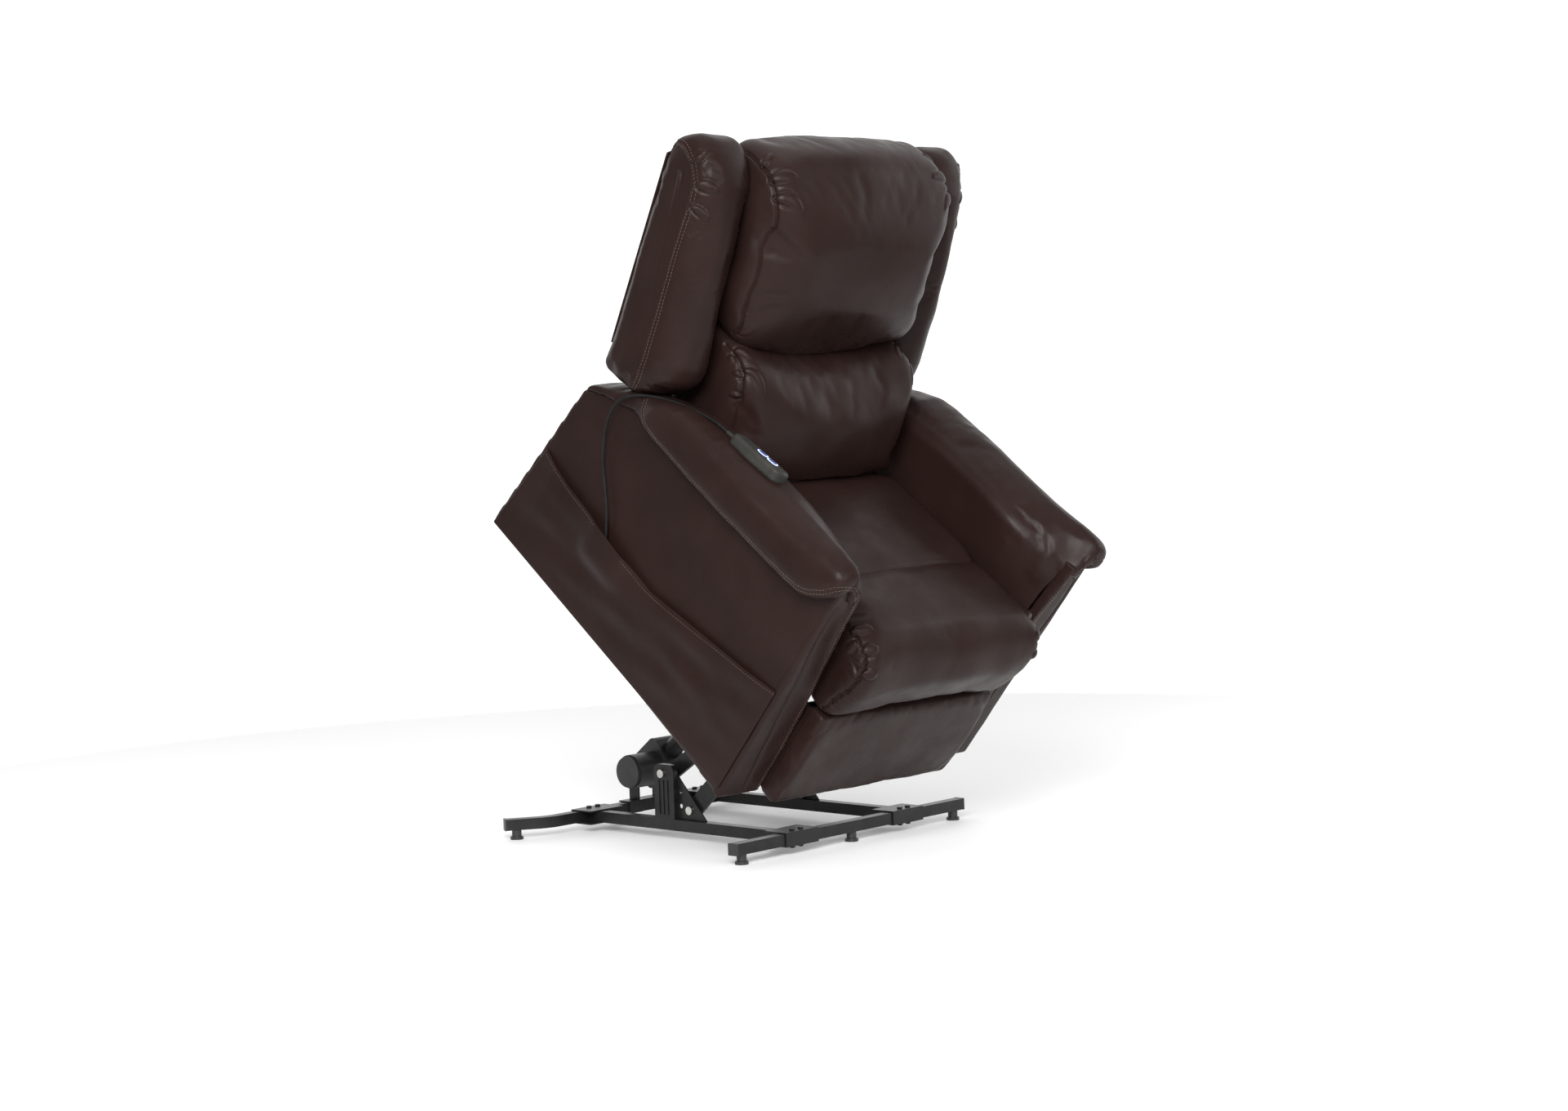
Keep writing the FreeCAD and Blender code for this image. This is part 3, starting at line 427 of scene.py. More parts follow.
def ramp(tree, source, low, high, start=0.3, end=0.7):
    node = tree.nodes.new("ShaderNodeValToRGB")
    node.color_ramp.elements[0].position = start
    node.color_ramp.elements[1].position = end
    node.color_ramp.elements[0].color = (*low, 1) if len(low) == 3 else low
    node.color_ramp.elements[1].color = (*high, 1) if len(high) == 3 else high
    tree.links.new(source, node.inputs["Fac"])
    return node.outputs["Color"]


def bump(tree, source, strength, distance, before=None):
    node = tree.nodes.new("ShaderNodeBump")
    node.inputs["Strength"].default_value = strength
    node.inputs["Distance"].default_value = distance
    tree.links.new(source, node.inputs["Height"])
    if before:
        tree.links.new(before, node.inputs["Normal"])
    return node.outputs["Normal"]


def grey(level):
    return (level, level, level)


def leather(name, dark, light, rough=(0.32, 0.44)):
    material, shader, tree = new_material(name, light, 0.42)
    shader.inputs["Specular IOR Level"].default_value = 0.13
    patches = texture(tree, "ShaderNodeTexNoise", 7.0, 4.0)
    tree.links.new(ramp(tree, patches.outputs["Fac"], dark, light), shader.inputs["Base Color"])
    gloss = texture(tree, "ShaderNodeTexNoise", 24.0, 5.0)
    tree.links.new(ramp(tree, gloss.outputs["Fac"], grey(rough[0]), grey(rough[1])),
                   shader.inputs["Roughness"])
    cells = texture(tree, "ShaderNodeTexVoronoi", 620.0)
    cells.feature = "DISTANCE_TO_EDGE"
    grain = bump(tree, cells.outputs["Distance"], 0.22, 0.0004)
    creases = texture(tree, "ShaderNodeTexNoise", 90.0, 6.0)
    soft = bump(tree, creases.outputs["Fac"], 0.16, 0.0012, grain)
    folds = texture(tree, "ShaderNodeTexNoise", 16.0, 3.0)
    tree.links.new(bump(tree, folds.outputs["Fac"], 0.14, 0.006, soft), shader.inputs["Normal"])
    return material


def painted(name, color, rough, grain=420.0, shine=0.5):
    material, shader, tree = new_material(name, color, rough)
    shader.inputs["Specular IOR Level"].default_value = shine
    speck = texture(tree, "ShaderNodeTexNoise", grain, 3.0)
    tree.links.new(ramp(tree, speck.outputs["Fac"], grey(rough - 0.06), grey(rough + 0.08)),
                   shader.inputs["Roughness"])
    tint = texture(tree, "ShaderNodeTexNoise", 30.0, 3.0)
    lighter = tuple(c * 1.5 + 0.004 for c in color)
    tree.links.new(ramp(tree, tint.outputs["Fac"], color, lighter), shader.inputs["Base Color"])
    tree.links.new(bump(tree, speck.outputs["Fac"], 0.12, 0.0004), shader.inputs["Normal"])
    return material


def metal(name, color, rough):
    material, shader, tree = new_material(name, color, rough, 1.0)
    marks = texture(tree, "ShaderNodeTexNoise", 160.0, 6.0)
    tree.links.new(ramp(tree, marks.outputs["Fac"], grey(rough - 0.08), grey(rough + 0.12)),
                   shader.inputs["Roughness"])
    stain = texture(tree, "ShaderNodeTexNoise", 45.0, 4.0)
    tree.links.new(ramp(tree, stain.outputs["Fac"], tuple(0.72 * c for c in color), color),
                   shader.inputs["Base Color"])
    tree.links.new(bump(tree, marks.outputs["Fac"], 0.08, 0.0003), shader.inputs["Normal"])
    return material


def plywood(name):
    material, shader, tree = new_material(name, (0.5, 0.34, 0.19), 0.6)
    rings = texture(tree, "ShaderNodeTexWave", 14.0, 4.0)
    rings.inputs["Distortion"].default_value = 6.0
    tree.links.new(ramp(tree, rings.outputs["Fac"], (0.42, 0.27, 0.14), (0.58, 0.41, 0.24), 0.2, 0.8),
                   shader.inputs["Base Color"])
    tree.links.new(bump(tree, rings.outputs["Fac"], 0.1, 0.0006), shader.inputs["Normal"])
    return material


# A material that emits light from a part with no lamp in it: painted glow.
def painted_glow(name, color, strength):
    material, shader, tree = new_material(name, color, 0.3)
    shader.inputs["Emission Color"].default_value = (*color, 1)
    shader.inputs["Emission Strength"].default_value = strength
    speck = texture(tree, "ShaderNodeTexNoise", 300.0)
    tree.links.new(ramp(tree, speck.outputs["Fac"], grey(0.25), grey(0.4)), shader.inputs["Roughness"])
    return material


LEATHER = leather("brown_leather", (0.0160, 0.0080, 0.0068), (0.0215, 0.0108, 0.0092))
THREAD = painted("brown_thread", (0.075, 0.050, 0.040), 0.6, 900.0, 0.2)
BLACK_STEEL = painted("black_powder_coat", (0.008, 0.0075, 0.0075), 0.34, 420.0, 0.3)
PLASTIC = painted("black_plastic", (0.014, 0.014, 0.015), 0.42, 700.0)
HANDSET_PLASTIC = painted("grey_handset_plastic", (0.018, 0.0175, 0.0150), 0.5, 900.0, 0.25)
BUTTON_PLASTIC = painted("blue_grey_button", (0.05, 0.07, 0.22), 0.4, 900.0)
# The handset's button ring is gloss plastic; its emission is a painted glow, not a lamp inside it.
RING_PAINTED_GLOW = painted_glow("ring_painted_glow", (0.55, 0.65, 1.0), 0.9)
CORD_SKIN = painted("cord_sheath", (0.006, 0.006, 0.006), 0.6, 900.0, 0.15)
ZINC = metal("zinc_plate", (0.72, 0.71, 0.68), 0.28)
WIRE = metal("spring_wire", (0.25, 0.25, 0.26), 0.4)
WOOD = plywood("plywood")

NODE_MATERIALS = {
    "black_steel": BLACK_STEEL, "zinc": ZINC, "spring_steel": WIRE,
    "black_plastic": PLASTIC, "handset_plastic": HANDSET_PLASTIC, "ring_plastic": RING_PAINTED_GLOW,
    "button_plastic": BUTTON_PLASTIC, "cord_rubber": CORD_SKIN, "wood": WOOD, "leather": LEATHER,
}


def paint_nodes():
    """Gives every carried-over CAD node its material; the back's frame shows wrapped in leather."""
    for entry in frame["record"]["subparts"]:
        obj = frame["nodes"][entry["node"]]
        wrapped = entry["node"] == "back_frame"
        for place in obj.material_slots:
            place.material = LEATHER if wrapped else NODE_MATERIALS[entry["material_slot"]]


# ------------------------------------------------------------------ backrest

# Up along the back, how far forward the wing's bolster, rear face, bolster seam, top-stitching and cheek
# seam are, and how far out the wing's middle, inner and outer faces are.
WING_MIDDLE, WING_INNER, WING_OUTER = 324, 259, 389
WING_FRONT = ((-16, 108), (-8, 128), (2, 146), (12, 160), (24, 180), (49, 196), (152, 190), (317, 174),
              (428, 152), (470, 128), (488, 108), (500, 84))
WING_REAR = ((-16, 8), (0, 0), (410, 0), (440, 4), (470, 16), (488, 34), (500, 56))
WING_STITCH = ((-16, 96), (0, 108), (86, 119), (252, 117), (415, 116), (455, 98), (500, 70))
WING_EDGE = ((-13, 104), (20, 113), (86, 119), (252, 117), (370, 117), (415, 112), (446, 98), (466, 76),
             (478, 50), (477, 24), (472, 6))
WING_SEAM = ((-12, 96), (60, 94), (204, 84), (385, 70), (425, 63))


def back_place(co):
    """Forward and up distances of points in the leaning back frame."""
    c, s = math.cos(BACK_RAKE), math.sin(BACK_RAKE)
    y, z = co[:, 1] - BACK_FOOT[0], co[:, 2] - BACK_FOOT[1]
    return -y * c + z * s, y * s + z * c


def wing_ring(up, way):
    """One level of a wing: a round bolster in front, a flat cheek outside."""
    front = table(up, *WING_FRONT)[0]
    rear = table(up, *WING_REAR)[0]
    stitch = min(table(up, *WING_STITCH)[0], front - 4)
    stitch = max(stitch, rear + 8)
    top = max(0.0, (up - 470) / 30)
    pull = 22 * top * top
    foot = 6 * max(0.0, -up / 16) ** 2
    points = []
    for k in range(15):
        turn = math.pi * k / 14
        swell = math.sin(turn) ** 0.75
        out = WING_MIDDLE + (WING_OUTER - WING_MIDDLE - pull - foot) * math.cos(turn)
        points.append((out, stitch + (front - stitch) * swell))
    inner = WING_INNER + pull + foot
    outer = WING_OUTER - pull - foot
    points += [(inner, stitch * 0.6 + rear * 0.4), (inner, rear + 10), (inner + 12, rear),
               (330, rear), (outer - 12, rear), (outer - 4, rear + 8),
               (outer, stitch * 0.5 + rear * 0.5), (outer, stitch - 8)]
    low = 11 * max(0.0, 1 - (up + 16) / 60)
    return [back_point(way * x, forward, up + low * min(1.0, max(0.0, (90 - forward) / 80)))
            for x, forward in points]


def build_wing(name, way):
    levels = (-16, -12, -6, 2, 12, 24, 40, 70, 110, 160, 210, 260, 310, 360, 400, 430, 450, 466, 480, 492,
              500)
    obj = loft("wing_" + name + "_cover", [wing_ring(up, way) for up in levels])
    remesh(obj, 5.0)
    inflate(obj, 3.0, 6.0, 0.02, 14, lambda co: np.abs(co[:, 0]) < 262)
    subdivide(obj)
    push(obj, 1.2 * waves(coords(obj), 90, 5 + way))
    edge = smooth_loop([back_point(way * WING_OUTER, a, b) for b, a in WING_EDGE], 90, False)
    forward, up = back_place(coords(obj))
    limit = np.interp(up, [b for b, _ in WING_EDGE[:9]], [a for _, a in WING_EDGE[:9]])
    cheek = (forward < limit) & (up < 474) & (np.abs(coords(obj)[:, 0]) > 372)
    far, _, _ = along_path(coords(obj), edge)
    drop = np.interp(up, (0, 330, 420, 480), (1.2, 1.6, 4.5, 6.0))
    push(obj, -np.where(cheek, drop * np.clip((far - 7.5) / 3.5, 0, 1), 0))
    seam = smooth_loop([back_point(way * WING_OUTER, a, b) for b, a in WING_SEAM], 60, False)
    groove(obj, seam, -3.4, 3.4)
    seam_front = [(x, *back_shift(y, z, 6)) for x, y, z in seam]
    groove(obj, seam_front, 2.6, 3.4)
    groove(obj, edge, 1.0, 2.4)
    tucks(obj, edge, ((0.69, -0.4, 0.8), (0.765, -0.3, 1.0), (0.84, 0.2, 0.7)), way, 58, 13, 5.0, 4.0)
    surface = surface_of(obj)
    thread("wing_%s_topstitch" % name, surface, edge, "backrest", (-4.0, 4.0))
    finish_piece(obj, "backrest", LEATHER, ["wing_" + name])


def back_shift(y, z, forward):
    """Moves a point of the seat unit's frame forwards in the leaning back frame."""
    return y - forward * math.cos(BACK_RAKE), z + forward * math.sin(BACK_RAKE)


PILLOW = ((590, 612), (568, 616), (553, 636), (545, 672), (546, 730), (557, 800), (578, 866), (604, 930),
          (638, 978), (690, 1006), (750, 1011), (804, 1000), (832, 968), (820, 916), (792, 872),
          (760, 790), (736, 700), (722, 640), (700, 614), (640, 611))
LUMBAR = ((414, 418), (420, 452), (428, 500), (441, 548), (466, 588), (504, 614), (550, 624), (612, 624),
          (690, 620), (706, 600), (690, 500), (676, 444), (620, 428), (520, 418), (450, 413))


def pillow_bend(x, y, z):
    """The pillow's foot hangs lower in the middle, and its top sinks towards the sides."""
    side = (abs(x) / 250) ** 2
    foot = max(0.0, (700 - z) / 80)
    crown = max(0.0, (z - 900) / 85)
    back = 14 * side * max(0.0, min(1.0, (700 - y) / 120))
    return (y + back, z + 24 * side * foot - 16 * side * crown + 0.03 * x)


def lumbar_bend(x, y, z):
    side = (abs(x) / 250) ** 2
    head = max(0.0, (z - 540) / 70)
    back = 22 * side * max(0.0, min(1.0, (600 - y) / 120))
    return (y + back, z + 24 * side * head)


def profile_line(outline, x, low, high, bend=None, count=200):
    """The stretch of a profile between two shares of its length, at one place across the chair."""
    loop = smooth_loop(outline, count)
    line = loop[int(low * count):int(high * count)]
    return [(x, *(bend(x, y, z) if bend else (y, z))) for y, z in line]


def corner_line(outline, way, low, high, bend=None):
    """A path just outside a cushion's corner, so that the nearest points to it lie round the corner."""
    line = profile_line(outline, way * 296, low, high, bend and (lambda x, y, z: bend(way * 252, y, z)))
    return [(x, y + 14, z) for x, y, z in line]


def build_head_pillow():
    obj = loft("head_pillow_cover", profile_rings(PILLOW, 252, 40, 4, 96, pillow_bend))
    remesh(obj, 5.2)
    inflate(obj, 4.0, 16.0, 0.012, 18,
            lambda co: (co[:, 1] > 640 + 0.25 * (co[:, 2] - 471) + 60) | (co[:, 2] < 622))
    relax(obj, 14)
    subdivide(obj)
    push(obj, 2.6 * waves(coords(obj), 170, 3))
    for way in (-1, 1):
        surface = surface_of(obj)
        edge = draped(surface, corner_line(PILLOW, way, 0.03, 0.50, pillow_bend), 8.0)[0]
        groove(obj, edge, 3.5, 4.0)
        tucks(obj, edge, ((0.70, -0.4, 1.0), (0.79, -0.15, 1.0), (0.88, 0.3, 0.6)),
              way, 84, 15, 4.5, 4.5)
        tucks(obj, edge, ((0.03, 0.8, 0.8), (0.12, 0.4, 0.6)), way, 50, 9, 1.0, 1.5)
        surface = surface_of(obj)
        welt("head_pillow_welt_%d" % (way + 1), surface, edge, "backrest", 1.7)
    finish_piece(obj, "backrest", LEATHER, ["head_pillow"])


def build_lumbar():
    obj = loft("lumbar_pillow_cover", profile_rings(LUMBAR, 254, 34, 3, 84, lumbar_bend))
    remesh(obj, 5.5)
    inflate(obj, 4.0, 13.0, 0.012, 16, lambda co: (co[:, 1] > 600) | (co[:, 2] < 424))
    relax(obj, 12)
    subdivide(obj)
    push(obj, 2.0 * waves(coords(obj), 120, 31))
    for way in (-1, 1):
        surface = surface_of(obj)
        edge = draped(surface, corner_line(LUMBAR, way, 0.02, 0.36, lumbar_bend), 8.0)[0]
        groove(obj, edge, 4.0, 4.5)
        tucks(obj, edge, ((0.74, -0.9, 1.0), (0.90, -0.7, 0.8)), way, 80, 10, 2.5, 2.5)
        tucks(obj, edge, ((0.55, 0.0, 0.8), (0.72, 0.2, 1.0), (0.88, 0.0, 1.0)),
              -way, 30, 9, 3.0, 4.0)
    dress(obj, LEATHER)
    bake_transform(obj)
    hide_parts("lumbar_pillow")


def panel(name, outline, x_low, x_high, voxel=7.0):
    """A flat upholstered panel whose outline is in the (y, z) plane."""
    loop = smooth_loop_corners(outline, 9.0)
    rings = [[(x, y, z) for y, z in loop] for x in (x_low, x_high)]
    obj = loft(name, rings)
    remesh(obj, voxel)
    return obj


def smooth_loop_corners(outline, radius):
    """An outline with each corner rounded off by a short curve."""
    points = [np.array(p, float) for p in outline]
    loop = []
    for k, here in enumerate(points):
        before, after = points[k - 1], points[(k + 1) % len(points)]
        a = here + (before - here) / np.linalg.norm(before - here) * radius
        b = here + (after - here) / np.linalg.norm(after - here) * radius
        for t in (0, 0.25, 0.5, 0.75, 1):
            loop.append((1 - t) ** 2 * a + 2 * t * (1 - t) * here + t * t * b)
    return loop


BACK_LOW, BACK_HIGH = 44, 446
BACK_HALF, SKIRT_HALF = 378, 350


def build_back_cover():
    """Rear cover of the backrest, with a narrower skirt at its foot, and the closing panel below it."""
    rings = []
    for up in [-2, 0, 20, 41, BACK_LOW, 45] + list(range(60, 440, 20)) + [445, BACK_HIGH]:
        share = (up - BACK_LOW) / (BACK_HIGH - BACK_LOW)
        ends = math.sin(math.pi * share) ** 0.5 if BACK_LOW < up < BACK_HIGH else 0.0
        half = BACK_HALF if up >= BACK_LOW else SKIRT_HALF
        points = []
        for x in np.linspace(-half, half, 39):
            points.append((x, 1 - 7 * ends * (1 - (abs(x) / half) ** 8)))
        points += [(half, 4), (0, 4), (-half, 4)]
        rings.append([back_point(x, forward, up) for x, forward in points])
    obj = loft("back_cover", rings)
    subdivide(obj)
    push(obj, 1.2 * waves(coords(obj), 170, 71) * (np.abs(coords(obj)[:, 0]) < SKIRT_HALF))
    edge = [back_point(x, -6, 100) for x in np.linspace(-365, 365, 20)]
    groove(obj, edge, 2.5, 4.0)
    surface = surface_of(obj)
    thread("back_cover_stitch", surface, edge, "backrest", (3.0,))
    finish_piece(obj, "backrest", LEATHER, ["back_outer_panel"])
    outline = ((794, 16), (811, 16), (757, 390), (740, 390))
    apron = panel("rear_apron_cover", outline, -361, 361, 6.0)
    push(apron, 1.2 * waves(coords(apron), 160, 73))
    subdivide(apron)
    finish_piece(apron, "seat_unit", LEATHER, ["rear_apron"])


# ------------------------------------------------------------------ seat and footrest

SEAT_LOOP = ((-42, 222), (-57, 252), (-74, 296), (-84, 340), (-80, 376), (-58, 404), (-14, 420),
             (50, 426), (120, 422), (146, 418), (175, 420), (260, 416), (350, 410), (430, 404),
             (450, 388), (450, 345), (420, 334), (240, 334), (80, 330), (56, 300), (38, 258), (16, 228),
             (-16, 219))
SEAT_FLAP = ((425, 380), (425, 402), (520, 403), (640, 398), (640, 388), (520, 384))


def build_seat():
    rings = profile_rings(SEAT_LOOP, 262, 24, 4, 96)
    obj = loft("seat_cushion_cover", rings)
    join(obj, loft("seat_flap", [[(x, y, z) for y, z in SEAT_FLAP] for x in np.linspace(-228, 228, 20)]))
    remesh(obj, 5.4)
    inflate(obj, 3.5, 10.0, 0.02, 16,
            lambda co: ((co[:, 2] < 345) & (co[:, 1] > -14)) | (co[:, 1] > 452))
    relax(obj, 10)
    subdivide(obj)
    push(obj, 1.6 * waves(coords(obj), 170, 41))
    seam = [(x, 146 + 6 * math.cos(x / 250 * 1.5) - 6, 424) for x in np.linspace(-262, 262, 30)]
    groove(obj, seam, 3.5, 3.6)
    groove(obj, seam, 3.0, 20.0)
    for way in (-1, 1):
        surface = surface_of(obj)
        edge = draped(surface, corner_line(SEAT_LOOP, way, 0.0, 0.24), 8.0)[0]
        tucks(obj, edge, ((0.46, 0.3, 0.9), (0.60, 0.0, 1.0), (0.75, -0.3, 0.9)), way, 56, 15, 7.0, 4.0)
        tucks(obj, edge, ((0.40, 0.3, 0.9), (0.53, 0.2, 1.0), (0.68, 0.0, 0.9)), -way, 50, 11, 3.0, 4.0)
        tucks(obj, edge, ((0.10, 0.4, 1.0), (0.18, 0.2, 0.7), (0.26, 0.3, 1.0), (0.34, 0.1, 0.8)),
              way, 26, 5, 1.2, 3.0)
        groove(obj, edge, 3.5, 4.0)
        surface = surface_of(obj)
        welt("seat_welt_%d" % (way + 1), surface, edge, "seat_unit", 1.4)
    finish_piece(obj, "seat_unit", LEATHER, ["seat_cushion"])


FOOT_LOOP = ((-42, 0), (-47, 54), (-48, 112), (-47, 160), (-43, 213), (-35, 222), (-12, 222), (-4, 215),
             (-4, 112), (-4, 2), (-10, -4), (-32, -5))
FLANGE = ((-30, 0), (20, 4), (20, 216), (-30, 216))


def build_footrest():
    obj = loft("footrest_cover", profile_rings(FOOT_LOOP, 264, 8, 0, 72))
    join(obj, *[loft("flange", [[(way * x, y, z) for y, z in FLANGE] for x in (251, 263)])
                for way in (-1, 1)])
    remesh(obj, 4.5)
    inflate(obj, 2.0, 3.5, 0.01, 12, lambda co: co[:, 1] > -26)
    relax(obj, 4)
    subdivide(obj)
    push(obj, 1.0 * waves(coords(obj), 140, 51))
    for way in (-1, 1):
        groove(obj, [(way * 264, -4, z) for z in np.linspace(0, 218, 20)], 2.0, 3.0)
    finish_piece(obj, "legrest", LEATHER, ["footrest_panel"])


# ------------------------------------------------------------------ arms and sides

# Along the arm: y, crown height, inner edge height, lip height, and how far the lip reaches out.
ARM_TABLE = ((-14, 548, 500, 520, 404), (-6, 566, 507, 513, 414), (10, 576, 510, 499, 419),
             (30, 577, 512, 482, 420), (60, 578, 515, 467, 420), (130, 571, 524, 458, 420),
             (230, 566, 533, 453, 420), (330, 561, 532, 451, 420), (430, 555, 524, 451, 420),
             (510, 541, 512, 452, 418), (560, 518, 501, 455, 412), (590, 502, 490, 457, 400),
             (620, 485, 477, 452, 393), (680, 456, 451, 428, 390), (735, 427, 423, 405, 389),
             (750, 415, 412, 399, 387))
FLARE = ((-7, 264), (120, 268), (247, 278), (308, 288), (371, 300), (470, 316), (519, 322))


def inner_face(y, z):
    """How far out the arm's inner face is; towards the front it leans out."""
    share = float(np.clip((125 - y) / 105, 0, 1)) ** 1.3
    return 265 + (table(z, *FLARE)[0] - 265) * share


def arm_ring(y, way):
    crown, inner, lip, reach = table(y, *ARM_TABLE)
    face = inner_face(y, inner)
    foot = inner - 4 if y < 14 else min(450, inner - 40)
    shut = max(0.0, (-6 - y) / 8) * 6
    wall = min(384.6, reach - 5)
    over = reach - wall
    deep = crown - lip
    edge = face + 20
    points = [(face + shut, foot), (face + shut, inner - 14), (face + 4 + shut, inner - 3),
              (edge - 3, inner * 0.88 + crown * 0.12 + 4),
              (edge * 0.5 + 187, inner * 0.3 + crown * 0.7 + 3), (368, crown), (wall, crown - 1),
              (wall + 0.5 * over, crown - 0.09 * deep), (wall + 0.84 * over, crown - 0.2 * deep),
              (reach, crown - 0.4 * deep), (reach, crown - 0.72 * deep),
              (wall + 0.92 * over, lip + 0.1 * deep), (wall + 0.6 * over, lip), (wall, lip + 1),
              (wall, lip + 0.3 * deep), (wall - 20, lip + 0.3 * deep),
              (face + 30, min(foot + 20, inner - 20)), (face + 24, foot)]
    return [(way * x, y, z) for x, z in points]


def arm_inner_ring(y, way):
    """Cross-section of the wall behind the arm's inner face."""
    top = min(488, table(y, *ARM_TABLE)[1] - 8)
    levels = np.linspace(13, top, 14)
    faces = [inner_face(y, z) for z in levels]
    ring = [(way * x, y, z) for x, z in zip(faces, levels)]
    return ring + [(way * (x + 14), y, z) for x, z in zip(faces[::-1], levels[::-1])]


def join(obj, *others):
    """Adds other meshes to an object's mesh."""
    shape = bmesh.new()
    shape.from_mesh(obj.data)
    for other in others:
        shape.from_mesh(other.data)
        bpy.data.objects.remove(other)
    shape.to_mesh(obj.data)
    shape.free()


def build_arm(name, way):
    pad_places = (-14, -10, -6, 0, 10, 14, 30, 60, 100, 150, 200, 260, 330, 400, 460, 510, 535, 560, 590,
                  620, 650, 680, 710, 735, 750)
    wall_places = (17, 30, 45, 60, 80, 100, 125, 160, 250, 350, 450, 520, 570, 620, 660, 700, 728)
    obj = loft("arm_%s_cover" % name, [arm_ring(y, way) for y in pad_places])
    join(obj, loft("arm_inner_" + name, [arm_inner_ring(y, way) for y in wall_places]))
    remesh(obj, 5.2)
    inflate(obj, 2.5, 5.0, 0.015, 14, lambda co: (np.abs(co[:, 0]) < 290) | (co[:, 2] < 440))
    relax(obj, 8)
    subdivide(obj)
    push(obj, 1.4 * waves(coords(obj), 130, 110 + way))
    lip = [(way * table(y, *ARM_TABLE)[3], y, table(y, *ARM_TABLE)[2] + 15) for y in
           (20, 53, 108, 180, 278, 376, 460, 520)]
    lip += [(way * 416, 556, 470), (way * 408, 578, 478), (way * 398, 592, 488), (way * 386, 600, 494)]
    front = [(way * 336, -16, 505), (way * 350, -17, 522), (way * 372, -17, 537), (way * 396, -15, 543),
             (way * 412, -6, 534), (way * 418, 6, 518)]
    edge = smooth_loop(front + lip, 140, False)
    groove(obj, edge, 1.2, 3.0)
    tucks(obj, edge, ((0.03, 0.5, 1.0), (0.065, 0.1, 0.9), (0.15, -0.1, 0.5)), way, 38, 6, 2.2, 3.0)
    surface = surface_of(obj)
    thread("arm_%s_topstitch" % name, surface, edge, "seat_unit", (-4.0, 4.0))
    finish_piece(obj, "seat_unit", LEATHER, ["arm_pad_" + name, "arm_inner_" + name])


SIDE_LOOP = ((2, -2), (300, 7), (812, 9), (757, 400), (743, 411), (645, 451), (572, 479), (508, 498),
             (2, 506))


def build_side(name, way):
    ends = sorted((way * (SIDE_FACE - 18), way * (SIDE_FACE - 1)))
    obj = panel("outer_side_%s_cover" % name, SIDE_LOOP, *ends)
    push(obj, 1.3 * waves(coords(obj), 200, 140 + way))
    subdivide(obj)
    finish_piece(obj, "seat_unit", LEATHER, ["outer_side_" + name])


def build_arm_front(name, way):
    """Front of the arm: a flat outer strip, a fold, and the leather that wraps round the inner corner."""
    rings = []
    for z in (-7, -4, 0, 60, 130, 200, 260, 320, 380, 430, 470, 492, 506, 518, 521):
        face = table(z, *FLARE)[0]
        flap = -3.6 - 7 * max(0.0, (z - 330) / 178)
        fold = min(315 + max(0.0, z) * 0.125, 366)
        points = [(face, 17), (face, 4), (face + 2, flap + 1.6), (face + 6, flap), (face + 14, flap),
                  (face + 17, -2.4), (fold - 5, -2.6), (fold, -1.2), (fold + 5, -2.4), (376, -2.4),
                  (380, -1.2), (381.4, 3), (381.4, 17)]
        rings.append([(way * x, y, z) for x, y in points])
    obj = loft("arm_front_%s_cover" % name, rings)
    remesh(obj, 4.0)
    subdivide(obj)
    push(obj, 0.6 * waves(coords(obj), 90, 150 + way))
    seam = [(way * (table(z, *FLARE)[0] + 8.5), -5, z)
            for z in (-2, 60, 120, 180, 247, 308, 371, 420, 470, 506)]
    fold = [(way * min(315 + z * 0.125, 366), -2, z) for z in np.linspace(0, 480, 30)]
    groove(obj, fold, 1.8, 3.0)
    surface = surface_of(obj)
    thread("arm_front_%s_stitch" % name, surface, smooth_loop(seam, 60, False), "seat_unit",
           (-3.4, 3.4))
    finish_piece(obj, "seat_unit", LEATHER, ["arm_front_" + name])


POCKET_TOP = ((4, 266), (120, 246), (365, 205), (470, 211), (564, 219), (664, 222), (779, 238))
POCKET_FRONT, POCKET_REAR, POCKET_FOOT = 6, 780, 14


